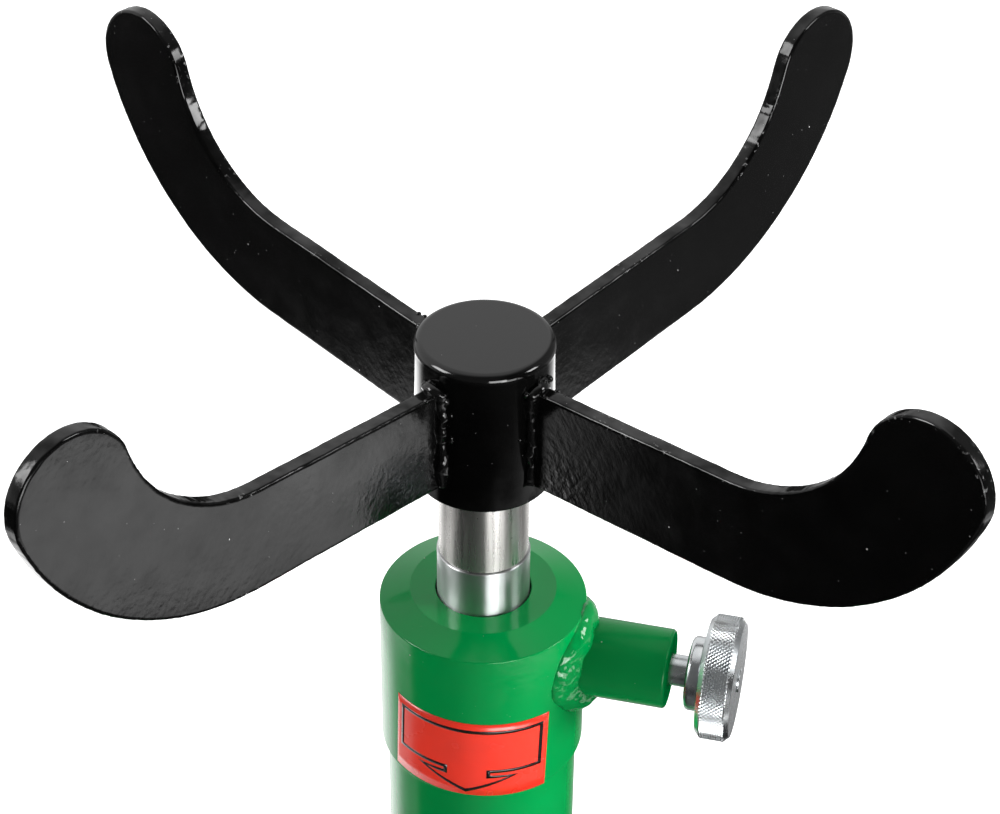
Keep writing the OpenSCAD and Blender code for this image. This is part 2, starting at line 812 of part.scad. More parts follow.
module pedal_bracket() {
    foot = block_top - pivot_z;
    color(GREEN) for (m = [0, 1]) mirror([m, 0, 0])
        translate([ear_x + ear_t / 2, 0, 0]) in_pedal_plane(ear_t) difference() {
            union() {
                circle(lever_eye_r);
                polygon([[-lever_eye_r, 0], [-lever_eye_r, foot], [bracket_front, foot],
                    [lever_eye_r, 0]]);
            }
            circle(pivot_pin_d / 2 + run_fit);
        }
    color(GREEN) translate([-ear_x - over, -pivot_at - lever_eye_r, block_top])
        cube([2 * (ear_x + over), 2 * lever_eye_r, bracket_web]);
}

module pedal_pivot_pin() {
    half = ear_x + ear_t;
    color(ZINC) translate([0, -pivot_at, pivot_z]) rotate([0, RIGHT_TURN, 0]) {
        translate([0, 0, -half - pin_head]) cylinder(d = pivot_pin_d, h = 2 * (half + pin_head));
        translate([0, 0, half]) cylinder(d = pivot_pin_d * 1.5, h = pin_head);
        translate([0, 0, -half - pin_head]) cylinder(d = pivot_pin_d * 1.5, h = pin_head);
    }
}

// Centre of the wire at ring i: a stub, the curls, and a stub
function spring_turn(i) = min(max(i - 2, 0), spring_rings) * FULL_TURN / SPRING_STEPS;
function spring_height(i) =
    i == 0 ? 0
    : i == 1 ? wire_d
    : i == spring_rings + 3 ? spring_l - wire_d
    : i == spring_rings + 4 ? spring_l
    : 2 * wire_d + spring_rise * (i - 2) / spring_rings;
function spring_centre(i) =
    let (a = spring_turn(i)) [spring_r * cos(a), spring_r * sin(a), spring_height(i)];
function is_stub(i) = i < 2 || i > spring_rings + 2;
function spring_tangent(i) =
    is_stub(i) ? [0, 0, 1]
    : let (a = spring_turn(i), climb = spring_rise / spring_curls / (2 * PI * spring_r),
        t = [-sin(a), cos(a), climb]) t / norm(t);
function spring_ring(i) =
    let (a = spring_turn(i), c = spring_centre(i), out = [cos(a), sin(a), 0],
        side = cross(spring_tangent(i), out))
    [for (k = [0:SPRING_SIDES - 1]) let (b = k * FULL_TURN / SPRING_SIDES)
        c + wire_d / 2 * (cos(b) * out + sin(b) * side)];
spring_last = spring_rings + 4;
spring_gap = min([for (i = [0:spring_last], j = [0:spring_last])
    if (j - i >= SPRING_STEPS - 2) norm(spring_centre(j) - spring_centre(i)) - wire_d]);
echo(spring_gap = spring_gap);

module pump_spring() {
    n = SPRING_SIDES;
    walls = [for (i = [0:spring_last - 1], k = [0:n - 1]) let (l = (k + 1) % n)
        each [[i * n + k, (i + 1) * n + l, i * n + l], [i * n + k, (i + 1) * n + k, (i + 1) * n + l]]];
    ends = [for (k = [1:n - 2]) each [[0, k, k + 1],
        [spring_last * n, spring_last * n + k + 1, spring_last * n + k]]];
    color(STEEL) translate([0, -pump_at, gland_top]) polyhedron(
        points = [for (i = [0:spring_last]) each spring_ring(i)],
        faces = concat(walls, ends));
}

module pump_plunger() {
    fork_top = pin_z + cross_pin_d;
    color(CHROME) translate([0, -pump_at, 0]) {
        translate([0, 0, plunger_foot])
            cylinder(d = plunger_d, h = spring_seat_z - plunger_foot + over);
        translate([0, 0, spring_seat_z]) cylinder(d = spring_seat_d, h = seat_t);
        difference() {
            for (m = [0, 1]) mirror([m, 0, 0])
                translate([lever_t / 2 + body_gap, -cross_pin_d, spring_seat_z + seat_t / 2])
                    cube([fork_ear, 2 * cross_pin_d, fork_top - spring_seat_z - seat_t / 2]);
            translate([-fork_w, 0, pin_z]) rotate([0, RIGHT_TURN, 0])
                cylinder(d = cross_pin_d + 2 * run_fit, h = 2 * fork_w);
        }
        translate([-fork_w / 2 - over, 0, pin_z]) rotate([0, RIGHT_TURN, 0])
            cylinder(d = cross_pin_d, h = fork_w + 2 * over);
    }
}

tread_mid = [tread_at, -tread_drop];
tread_dir = [cos(swing / 2), sin(swing / 2)];

module pedal_lever() {
    pin_dir = [cos(swing / 2), sin(swing / 2)];
    root = tread_mid - tread_l / 2 * tread_dir;
    color(BLACK) {
        in_pedal_plane(lever_t) difference() {
            union() {
                circle(lever_eye_r);
                strap([0, 0], lever_eye_r, elbow, elbow_r);
                translate(elbow) circle(elbow_r);
                strap(elbow, elbow_r, root, tread_root_r);
                translate(root) circle(tread_root_r);
            }
            circle(pivot_pin_d / 2 + run_fit);
            translate(slot_mid * pin_dir) rotate(swing / 2)
                square([2 * slot_half + slot_w, slot_w], center = true);
        }
        in_pedal_plane(tread_w) translate(tread_mid) rotate(swing / 2)
            square([tread_l, tread_t], center = true);
    }
}

module pedal_pad() {
    start = pad_root - tread_l / 2;
    pad_l = tread_l - pad_root - pad_edge;
    pitch = pad_l / pad_ribs;
    color(RUBBER) in_pedal_plane(tread_w - 2 * pad_edge) translate(tread_mid) rotate(swing / 2) {
        translate([start, tread_t / 2]) square([pad_l, pad_t]);
        for (k = [0:pad_ribs - 1])
            translate([start + (k + 1 / 4) * pitch, tread_t / 2])
                square([pitch / 2, pad_t + pad_rib]);
    }
}

// Release valve

module release_ball() {
    color(CHROME) translate([release_ball_x, 0, release_z])
        sphere(d = release_ball_d);
}

module release_spindle() {
    x = spindle_start + body_gap;
    color(ZINC) translate([x, 0, release_z]) rotate([0, RIGHT_TURN, 0])
        cylinder(d = spindle_d, h = spindle_end - x);
}

module release_knob() {
    lobe_r = release_knob_d / 2 * sin(HALF_TURN / knob_lobes);
    color(BLACK) translate([spindle_end - release_knob_t, 0, release_z]) rotate([0, RIGHT_TURN, 0])
        linear_extrude(release_knob_t) difference() {
            circle(d = release_knob_d);
            for (k = [1:knob_lobes]) rotate(k * FULL_TURN / knob_lobes)
                translate([release_knob_d / 2 + lobe_r / 2, 0]) circle(lobe_r * 0.8);
            circle(d = spindle_d);
        }
}

// Ram

module ram() {
    color(CHROME) difference() {
        union() {
            translate([0, 0, piston_top]) cylinder(d = ram_d, h = ram_top - body_gap - piston_top);
            translate([0, 0, piston_nut_z])
                cylinder(d = ram_end_d, h = piston_top - piston_nut_z + over);
        }
        translate([0, 0, ram_top - spigot_l - over])
            cylinder(d = spigot_d + 2 * run_fit, h = spigot_l + 2 * over);
    }
}

module piston() {
    seal_z = (piston_l - piston_seal_h) / 2;
    color(STEEL) translate([0, 0, piston_z]) difference() {
        ring(piston_d, ram_end_d + 2 * run_fit, piston_l);
        translate([0, 0, seal_z])
            ring(piston_d + over, piston_d - 2 * piston_seal_t, piston_seal_h);
    }
}

module piston_seal() {
    color(RUBBER) translate([0, 0, piston_z + (piston_l - piston_seal_h) / 2])
        ring(piston_d, piston_d - 2 * piston_seal_t, piston_seal_h);
}

module piston_nut() {
    af = (cyl_bore - 2 * nut_lip) * cos(HALF_TURN / HEX);
    color(STEEL) translate([0, 0, piston_nut_z])
        nut(af, ram_end_d + 2 * run_fit, piston_nut_h);
}

module stop_sleeve() {
    id = ram_d + 2 * run_fit;
    color(STEEL) translate([0, 0, piston_top]) ring(id + 2 * stop_wall, id, stop_l);
}

// Saddle

module saddle_hub() {
    c = hub_round / 2;
    color(BLACK) translate([0, 0, hub_foot]) rotate_extrude() difference() {
        union() {
            square([hub_d / 2 - hub_round, hub_h]);
            translate([0, c]) square([hub_d / 2, hub_h - c - hub_round]);
            polygon([[0, 0], [hub_d / 2 - c, 0], [hub_d / 2, c], [0, c]]);
            intersection() {
                translate([hub_d / 2 - hub_round, hub_h - hub_round]) circle(hub_round);
                square([hub_d, hub_h]);
            }
        }
        translate([-over, -over]) square([stem_d / 2 + over, stem_in + over]);
    }
}

module arm_outline() {
    far = 2 * outer_r;
    edge = tip_c + far * [cos(outer_a), sin(outer_a)];
    back = arm_h / 2 * along;
    difference() {
        union() {
            polygon([[0, bar_foot[1]] - (bar_foot[0] * along[1] / along[0]) * [0, 1], heel,
                bar_top + bar_run * along,
                [0, bar_top[1]] - (bar_top[0] * along[1] / along[0]) * [0, 1]]);
            intersection() {
                translate(outer_c) circle(outer_r);
                polygon([heel - back, bar_top + bar_run * along - back,
                    bar_top + bar_run * along, hollow_c, tip_c, edge,
                    [edge[0], heel[1] - outer_r], [heel[0], heel[1] - outer_r]]);
            }
        }
        translate(hollow_c) circle(hollow_r);
    }
    translate(tip_c) circle(tip_r);
}

module hub_body() {
    translate([0, 0, hub_foot]) cylinder(d = hub_d, h = hub_h);
}

module saddle_arm(i) {
    color(BLACK) difference() {
        rotate(QUARTERS[i] + ARM_SET[i]) translate([0, 0, hub_top]) rotate([RIGHT_TURN, 0, 0])
            linear_extrude(arm_t, center = true) arm_outline();
        hub_body();
    }
}

module saddle_welds() {
    x = sqrt((hub_d / 2) ^ 2 - (arm_t / 2) ^ 2);
    color(BLACK) for (i = [0:3], s = [-1, 1]) rotate(QUARTERS[i] + ARM_SET[i]) difference() {
        translate([x, s * arm_t / 2, hub_top + bar_foot[1]])
            cylinder(r = arm_weld_r, h = arm_h);
        hub_body();
        translate([0, -arm_t / 2, hub_foot]) cube([hub_d, arm_t, hub_h]);
    }
}

module saddle_stem() {
    c = 2 * body_gap;
    color(STEEL) {
        translate([0, 0, ram_top]) cylinder(d1 = stem_d - 2 * c, d2 = stem_d, h = c);
        translate([0, 0, ram_top + c]) cylinder(d = stem_d, h = stem_show + stem_in - c);
        translate([0, 0, ram_top - spigot_l]) cylinder(d = spigot_d, h = spigot_l + c);
    }
}

// Clamp screw

module clamp_pad() {
    color(BRONZE) on_clamp_axis(pad_start) cylinder(d = screw_d, h = pad_l - body_gap);
}

module clamp_screw() {
    color(ZINC) {
        on_clamp_axis(screw_start) cylinder(d = screw_d, h = shoulder_start - screw_start + over);
        on_clamp_axis(shoulder_start) cylinder(d = shoulder_d, h = shoulder_t);
        on_clamp_axis(knob_start - over) cylinder(d = rivet_d, h = knob_t + rivet_out + over);
    }
}

module clamp_knob() {
    c = knob_chamfer;
    color(ZINC) on_clamp_axis(knob_start) rotate_extrude() polygon([
        [rivet_d / 2, 0], [knob_d / 2 - c, 0], [knob_d / 2, c], [knob_d / 2, knob_t - c],
        [knob_d / 2 - c, knob_t], [rivet_d / 2, knob_t]]);
}

// Castors, each trailing outwards

module castor_fork(i) {
    grip = 2 * (cheek_y + fork_t);
    color(BLACK) rotate(QUARTERS[i]) translate([castor_reach, 0, 0]) {
        translate([0, 0, crown_z]) ring(crown_d, pivot_d + 2 * run_fit, crown_t);
        for (s = [-1, 1]) translate([0, s * (cheek_y + fork_t / 2), 0]) rotate([RIGHT_TURN, 0, 0])
            linear_extrude(fork_t, center = true) difference() {
                union() {
                    polygon([[-cheek_top / 2, crown_z + crown_t / 2],
                        [wheel_trail - eye_r, axle_z], [wheel_trail + eye_r, axle_z],
                        [cheek_top / 2, crown_z + crown_t / 2]]);
                    translate([wheel_trail, axle_z]) circle(eye_r);
                }
                translate([wheel_trail, axle_z]) circle(axle_d / 2 + run_fit);
            }
        translate([wheel_trail, grip / 2 + seat_gap, axle_z]) rotate([-RIGHT_TURN, 0, 0])
            bolt(axle_d, grip + 2 * axle_head, axle_af, axle_head);
        translate([wheel_trail, -grip / 2 - axle_head - seat_gap, axle_z]) rotate([-RIGHT_TURN, 0, 0])
            nut(axle_af, axle_d + 2 * run_fit, axle_head);
    }
}

module castor_wheel(i) {
    r = wheel_d / 2;
    w = wheel_w / 2;
    hub = cheek_y - body_gap;
    bore = axle_d / 2 + run_fit;
    web = wheel_web / 2;
    color(RUBBER) rotate(QUARTERS[i]) translate([castor_reach + wheel_trail, 0, axle_z])
        rotate([RIGHT_TURN, 0, 0]) rotate_extrude() polygon([
            [bore, -hub], [wheel_hub_r, -hub], [wheel_hub_r, -web], [wheel_rim_r, -web],
            [wheel_rim_r, -w], [r - tread_round, -w], [r, tread_round - w],
            [r, w - tread_round], [r - tread_round, w], [wheel_rim_r, w],
            [wheel_rim_r, web], [wheel_hub_r, web], [wheel_hub_r, hub], [bore, hub]]);
}

echo(hub_top = hub_top, collar_top = collar_top, collar_z = collar_z, clamp_z = clamp_z);
echo(ram_travel = ram_travel, pump_stroke = pump_stroke, pivot_at = pivot_at, pivot_z = pivot_z);
echo(gland_top = gland_top, release_z = release_z, axle_z = axle_z, block_top = block_top);

base_plate();
leg(0);  // leg_back_right
leg(1);  // leg_back_left
leg(2);  // leg_front_left
leg(3);  // leg_front_right
leg_end_caps();
leg_bolts();
castor_stems();
pump_block();
block_screws();
pressure_cylinder();
reservoir_tube();
tube_gaskets();
collar();
guide_bush();
rod_seal();
wiper_seal();
clamp_boss();
boss_weld();
collar_label();
carry_handle();
handle_grip();
filler_plug();
pump_gland_nut();
pump_seal();
check_balls();
valve_plugs();
pedal_bracket();
pedal_pivot_pin();
pump_spring();
ram();
piston();
piston_seal();
piston_nut();
stop_sleeve();
saddle_hub();
saddle_arm(0);  // saddle_arm_back_right
saddle_arm(1);  // saddle_arm_back_left
saddle_arm(2);  // saddle_arm_front_left
saddle_arm(3);  // saddle_arm_front_right
saddle_welds();
saddle_stem();
clamp_pad();
clamp_screw();
clamp_knob();
pump_plunger();
pedal_lever();
pedal_pad();
release_ball();
release_spindle();
release_knob();
castor_fork(0);  // castor_fork_back_right
castor_fork(1);  // castor_fork_back_left
castor_fork(2);  // castor_fork_front_left
castor_fork(3);  // castor_fork_front_right
castor_wheel(0);  // castor_wheel_back_right
castor_wheel(1);  // castor_wheel_back_left
castor_wheel(2);  // castor_wheel_front_left
castor_wheel(3);  // castor_wheel_front_right
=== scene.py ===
"""Looks of a hydraulic transmission jack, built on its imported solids, in metres."""
import json
import math
import random
from functools import partial

import bmesh
import bpy
from mathutils import Euler, Matrix, Vector, noise


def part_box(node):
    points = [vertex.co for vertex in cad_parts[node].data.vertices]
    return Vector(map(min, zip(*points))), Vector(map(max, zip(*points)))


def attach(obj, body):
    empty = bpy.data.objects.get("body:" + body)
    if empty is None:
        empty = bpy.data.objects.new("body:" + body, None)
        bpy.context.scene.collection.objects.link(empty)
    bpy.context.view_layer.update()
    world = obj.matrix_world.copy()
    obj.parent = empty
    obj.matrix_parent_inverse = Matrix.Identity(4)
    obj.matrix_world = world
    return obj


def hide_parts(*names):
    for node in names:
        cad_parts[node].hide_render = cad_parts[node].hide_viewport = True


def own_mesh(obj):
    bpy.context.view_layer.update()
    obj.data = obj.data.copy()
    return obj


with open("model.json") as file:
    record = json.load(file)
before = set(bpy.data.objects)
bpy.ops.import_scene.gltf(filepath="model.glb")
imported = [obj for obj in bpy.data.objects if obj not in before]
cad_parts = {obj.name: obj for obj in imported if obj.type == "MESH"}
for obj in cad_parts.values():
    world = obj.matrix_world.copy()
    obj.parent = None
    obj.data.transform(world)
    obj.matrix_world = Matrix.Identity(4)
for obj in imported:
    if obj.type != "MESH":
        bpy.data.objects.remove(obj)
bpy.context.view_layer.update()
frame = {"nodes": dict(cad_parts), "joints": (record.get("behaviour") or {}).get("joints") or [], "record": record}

bl_info = {
    "name": "Transmission Jack",
    "version": (1, 0, 0),
    "blender": (4, 5, 0),
    "location": "View3D > Sidebar > Jack",
    "description": "Finishes and small forms of a hydraulic transmission jack",
    "category": "Add Mesh",
}

MM = 0.001
QUARTERS = ("back_right", "back_left", "front_left", "front_right")
HUB_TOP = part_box("saddle_hub")[1].z
SCREW_TURN = next(j for j in frame["joints"] if j["name"] == "clamp_turn")
# Sizes of the solids that the looks repeat, in millimetres
PLATE = 6.0
BOSS_FOOT, BOSS_REACH, BOSS_R, SCREW_BORE = 30, 72.3, 15, 6.05


def measured(node):
    """A solid's radius along x, its foot and its top, in millimetres."""
    lo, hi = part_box(node)
    return (hi.x - lo.x) / 2 / MM, lo.z / MM, hi.z / MM


def linear(colour):
    """sRGB hex to linear RGBA."""
    values = [int(colour[i:i + 2], 16) / 255 for i in (1, 3, 5)]
    return [v / 12.92 if v <= 0.04045 else ((v + 0.055) / 1.055) ** 2.4
            for v in values] + [1.0]


def length_of(name, description, millimetres):
    """A length that a user may change."""
    return bpy.props.FloatProperty(name=name, description=description,
                                   default=millimetres * MM, subtype="DISTANCE",
                                   unit="LENGTH")


def shade_of(name, description, colour):
    """A colour that a user may change."""
    return bpy.props.FloatVectorProperty(name=name, description=description, size=4,
                                         default=linear(colour), subtype="COLOR",
                                         min=0.0, max=1.0)


class JackSizes(bpy.types.PropertyGroup):
    """Small sizes that the solids don't hold"""
    hub_edge: length_of("Hub edge", "Rounding of the hub's top under its paint", 2.9)
    paint_edge: length_of("Painted edge", "Rounding of a cut edge under paint", 1.0)
    casting_edge: length_of("Block edge", "Rounding of the block's and legs' edges", 1.2)
    machined_edge: length_of("Machined edge", "Broken edge of a turned or milled piece",
                             0.4)
    moulded_edge: length_of("Moulded edge", "Rounding of a moulded piece", 0.9)
    weld_bead: length_of("Weld bead", "Half width of the beads on the hub", 2.1)
    weld_ring: length_of("Handle weld", "Half width of the rings at the handle", 2.4)
    knurl_pitch: length_of("Knurl pitch", "Distance between two rows of the knurl", 0.9)
    knurl_depth: length_of("Knurl depth", "Height of a diamond of the knurl", 0.5)
    grip_pitch: length_of("Grip pitch", "Distance between two ribs of the grip", 6.5)
    grip_rib: length_of("Grip rib", "Half height of a rib of the grip", 0.9)
    knurls_round: bpy.props.IntProperty(
        name="Knurls", description="Diamonds in one row round the clamp knob", default=96)


class JackColours(bpy.types.PropertyGroup):
    """Colours of the finishes"""
    green: shade_of("Green", "Enamel of the column and the base", "#008740")
    green_deep: shade_of("Deep green", "Thin places of the green enamel", "#007a39")
    black: shade_of("Black", "Enamel of the saddle and the pedal", "#060606")
    black_deep: shade_of("Deep black", "Thick places of the black enamel", "#030303")
    dust: shade_of("Dust", "Specks caught in the paint", "#c4c4c4")
    chrome: shade_of("Chrome", "Plating of the ram", "#e3e5e6")
    steel: shade_of("Steel", "Turned steel", "#dddbd8")
    steel_deep: shade_of("Deep steel", "Dull places of the turned steel", "#b9b6b2")
    zinc: shade_of("Zinc", "Bright zinc plate", "#e0e3e4")
    zinc_deep: shade_of("Dull zinc", "Clouds in the zinc plate", "#bcc1c4")
    bronze: shade_of("Bronze", "Sintered bronze", "#b58a4c")
    rubber: shade_of("Rubber", "Moulded rubber", "#2a2a2a")
    nylon: shade_of("Nylon", "Moulded polyamide", "#222222")
    red: shade_of("Red", "Ink of the label", "#f5341e")
    ink: shade_of("Black ink", "Arrow of the label", "#1a0a08")


def add(tree, kind, settings=None):
    """Adds a node; each setting is a value, or a socket that is linked to an input."""
    made = tree.nodes.new(kind)
    for key, value in (settings or {}).items():
        if isinstance(value, bpy.types.NodeSocket):
            tree.links.new(value, made.inputs[key])
        elif isinstance(key, int) or key in made.inputs:
            made.inputs[key].default_value = value
        else:
            setattr(made, key, value)
    return made


def drive(tree, node, sockets):
    """Links sockets to a node's inputs, by name."""
    for name, socket in sockets.items():
        tree.links.new(socket, node.inputs[name])


def begin(name, settings):
    """A material with one shader: returns it, its tree, the shader and the place."""
    material = bpy.data.materials.new(name)
    material.use_nodes = True
    tree = material.node_tree
    tree.nodes.clear()
    shader = add(tree, "ShaderNodeBsdfPrincipled", settings)
    add(tree, "ShaderNodeOutputMaterial", {"Surface": shader.outputs["BSDF"]})
    place = add(tree, "ShaderNodeTexCoord").outputs["Object"]
    return material, tree, shader, place


def grain(tree, place, size, detail=3.0, stretch=(1, 1, 1), turn=(0, 0, 0)):
    """Noise whose lumps are about size metres across, optionally turned and stretched."""
    turned_place = add(tree, "ShaderNodeMapping", {
        "Rotation": [math.radians(a) for a in turn], "Vector": place}).outputs["Vector"]
    scaled = add(tree, "ShaderNodeVectorMath", {
        "operation": "MULTIPLY", 0: turned_place, 1: [1 / s for s in stretch]})
    return add(tree, "ShaderNodeTexNoise", {
        "Scale": 0.5 / size, "Detail": detail, "Vector": scaled.outputs[0]}).outputs["Fac"]


def sum_of(tree, kind, first, *others):
    """Arithmetic on numbers, each a value or a socket, one step after the other."""
    for other in others:
        first = add(tree, "ShaderNodeMath",
                    {"operation": kind, 0: first, 1: other}).outputs[0]
    return first


def spread(tree, value, low, high, low_to=0.0, high_to=1.0):
    """Maps a value's range on to another one, clamped."""
    return add(tree, "ShaderNodeMapRange", {
        "Value": value, 1: low, 2: high, 3: low_to, 4: high_to}).outputs["Result"]


def blend(tree, share, first, second):
    """Mixes two colours, each a list or a socket."""
    return add(tree, "ShaderNodeMix", {
        "data_type": "RGBA", 0: share, 6: first, 7: second}).outputs[2]


def mixed(tree, share, first, second):
    """Mixes two numbers, each a value or a socket."""
    return add(tree, "ShaderNodeMix", {
        "data_type": "FLOAT", 0: share, 2: first, 3: second}).outputs[0]


def off_axis(tree, place):
    """Distance from the z axis."""
    flat = add(tree, "ShaderNodeVectorMath", {
        "operation": "MULTIPLY", 0: place, 1: (1, 1, 0)}).outputs[0]
    return add(tree, "ShaderNodeVectorMath", {
        "operation": "LENGTH", 0: flat}).outputs["Value"]


def relief(tree, shader, height, depth, under=None):
    """Bumps the shader by a height map, depth metres deep, over what is under it."""
    bump = add(tree, "ShaderNodeBump", {"Strength": 1.0, "Distance": depth,
                                        "Height": height})
    if under is not None:
        tree.links.new(under, bump.inputs["Normal"])
    drive(tree, shader, {"Normal": bump.outputs["Normal"]})
    return bump.outputs["Normal"]


def specks(tree, place, cell, radius, rare=0.62):
    """Round specks, one at most in each cell, of that radius: 1 on a speck."""
    seen = add(tree, "ShaderNodeTexVoronoi", {"Scale": 1 / cell, "Vector": place})
    near = spread(tree, seen.outputs["Distance"], radius / cell, 0.6 * radius / cell)
    chosen = spread(tree, seen.outputs["Color"], rare, rare + 0.04)
    return sum_of(tree, "MULTIPLY", near, chosen)


# Alkyd enamel, sprayed thick: a wet gloss over a slow orange peel, with dust in it.
# Leather is the coarse peel that heat leaves near the hub's welds, and chips are
# where the paint has come off the cut edges, in a grey that also stands in for the
# glints along those edges: partly wear, partly painted highlight.
def enamel(name, colour, deep, dust, peel, roughness, ripple=0.0, leather=0.0,
           chips_and_glints=False, ior=1.5, dull_sides=False, shine=0.5, matt_end=None):
    material, tree, shader, place = begin(name, {"IOR": ior, "Specular IOR Level": shine})
    times = partial(sum_of, tree, "MULTIPLY")
    ways = add(tree, "ShaderNodeSeparateXYZ", {"Vector": place}).outputs
    broad = grain(tree, place, 30 * MM, 2.0)
    body = blend(tree, spread(tree, broad, 0.35, 0.65), deep, colour)
    dusty = sum_of(tree, "MAXIMUM", specks(tree, place, 9 * MM, 0.34 * MM),
                   times(specks(tree, place, 3.4 * MM, 0.2 * MM), 0.4))
    body = blend(tree, dusty, body, dust)
    if chips_and_glints:
        edge = add(tree, "ShaderNodeAttribute", {"attribute_name": "edge"}).outputs["Fac"]
        # Grey marks on the corners: chips where the paint is off, and also painted glints of the rounded edges
        wear_and_glint = times(spread(tree, edge, 0.55, 0.95),
                     spread(tree, grain(tree, place, 0.8 * MM, 3.0), 0.6, 0.68),
                     spread(tree, grain(tree, place, 16 * MM, 2.0), 0.52, 0.62))
        body = blend(tree, wear_and_glint, body, linear("#7c7c7c"))
        # The cut edge shines unevenly, in bands across it
        bands = spread(tree, grain(tree, place, 7 * MM, 3.0), 0.36, 0.64, 0.12, 0.5)
        drive(tree, shader, {"Specular IOR Level": mixed(
            tree, spread(tree, edge, 0.36, 0.48), 0.5, bands)})
    fine = grain(tree, place, 6 * MM, 2.0)
    drive(tree, shader, {"Base Color": body, "Roughness": spread(
        tree, fine, 0.3, 0.7, roughness - 0.03, roughness + 0.05)})
    if matt_end:
        # Without any shine beyond a reach along an axis, as a sawn end face is
        axis, reach = matt_end
        along = add(tree, "ShaderNodeVectorMath", {
            "operation": "DOT_PRODUCT", 0: place, 1: axis}).outputs["Value"]
        drive(tree, shader, {"Specular IOR Level": spread(
            tree, along, reach - 0.2 * MM, reach - 0.1 * MM, shine, 0.0)})
    if dull_sides:
        # The hub's sides mirror less than its flat top
        drive(tree, shader, {"Specular IOR Level": spread(
            tree, ways["Z"], HUB_TOP - 4.0 * MM, HUB_TOP - 2.2 * MM, 0.12, 0.5)})
    # Orange peel: lumps about 1.6 mm across
    under = relief(tree, shader, grain(tree, place, 1.6 * MM, 1.0), peel)
    if ripple:
        # Turning marks under the paint, about 1.2 mm apart
        rings = grain(tree, place, 0.6 * MM, 1.0, (70, 70, 1))
        under = relief(tree, shader, rings, ripple, under)
    if leather:
        # Leathery lumps of 1.5 mm, low on the arms, gone at 66 mm from the saddle's axis
        lumps = times(spread(tree, off_axis(tree, place), 66 * MM, 44 * MM),
                      spread(tree, ways["Y"], 0, 20 * MM, 1.0, 0.2),
                      spread(tree, ways["Z"], HUB_TOP - 38 * MM, HUB_TOP - 20 * MM,
                             1.0, 0.15),
                      grain(tree, place, 1.5 * MM, 2.0))
        under = relief(tree, shader, lumps, leather, under)
        # Fine slanting drag marks of the spray, 0.7 mm wide and 2.5 mm long
        drag = grain(tree, place, 0.7 * MM, 2.0, (1, 1, 3.5), (24, 24, 0))
        under = relief(tree, shader, drag, 0.02 * MM, under)
    relief(tree, shader, dusty, 0.06 * MM, under)
    return material


def drawn_out(tree, shader, amount):
    """Spreads reflections along the z axis, across the fine rings of a turned surface."""
    shader.inputs["Anisotropic"].default_value = amount
    shader.inputs["Anisotropic Rotation"].default_value = 0.25
    round_z = add(tree, "ShaderNodeTangent", {"direction_type": "RADIAL", "axis": "Z"})
    tree.links.new(round_z.outputs[0], shader.inputs["Tangent"])


# Carbon steel, turned and then drawn lengthwise with cloth: grey, satin, with faint
# rings from the tool, lengthwise streaks and small pits
def turned_steel(name, light, dark, roughness=0.28):
    material, tree, shader, place = begin(name, {"Metallic": 1.0})
    drawn_out(tree, shader, 0.9)
    rings = grain(tree, place, 0.35 * MM, 2.0, (60, 60, 1))
    streaks = grain(tree, place, 0.9 * MM, 3.0, (1, 1, 18))
    patches = grain(tree, place, 9 * MM, 4.0, (1, 1, 2))
    shares = [spread(tree, noise_at, 0.3, 0.7, low, 1.0) for noise_at, low in
              ((rings, 0.85), (patches, 0.65), (streaks, 0.75))]
    body = blend(tree, sum_of(tree, "MULTIPLY", *shares), dark, light)
    pits = specks(tree, place, 3.2 * MM, 0.28 * MM, 0.5)
    drive(tree, shader, {
        "Base Color": blend(tree, pits, body, linear("#35322f")),
        "Roughness": spread(tree, streaks, 0.3, 0.7, roughness + 0.06, roughness - 0.06)})
    under = relief(tree, shader, rings, 0.004 * MM)
    relief(tree, shader, pits, -0.05 * MM, under)
    return material


def dimmed(colour, share):
    """A colour at a share of its light."""
    return [share * v for v in colour[:3]] + [1.0]


# Hard chrome, ground and polished: a mirror with a faint haze and hairline scores
def hard_chrome(name, colour):
    material, tree, shader, place = begin(name, {"Metallic": 1.0})
    drawn_out(tree, shader, 0.95)
    haze = grain(tree, place, 9 * MM, 4.0, (1, 1, 2))
    drive(tree, shader, {
        "Base Color": blend(tree, spread(tree, haze, 0.3, 0.7), dimmed(colour, 0.8),
                            colour),
        "Roughness": spread(tree, haze, 0.3, 0.7, 0.3, 0.38)})
    relief(tree, shader, grain(tree, place, 0.5 * MM, 2.0, (1, 1, 40)), 0.003 * MM)
    return material


def clouded(name, settings, cloud, colours, roughness, lumps, share=(0.3, 0.7)):
    """A finish that one noise clouds, over lumps; sizes and depth in millimetres."""
    material, tree, shader, place = begin(name, settings)
    size, detail = cloud
    clouds = grain(tree, place, size * MM, detail)
    drive(tree, shader, {"Base Color": blend(tree, spread(tree, clouds, *share), *colours),
                         "Roughness": spread(tree, clouds, 0.3, 0.7, *roughness)})
    size, detail, depth = lumps
    relief(tree, shader, grain(tree, place, size * MM, detail), depth * MM)
    return material


finishes = {}


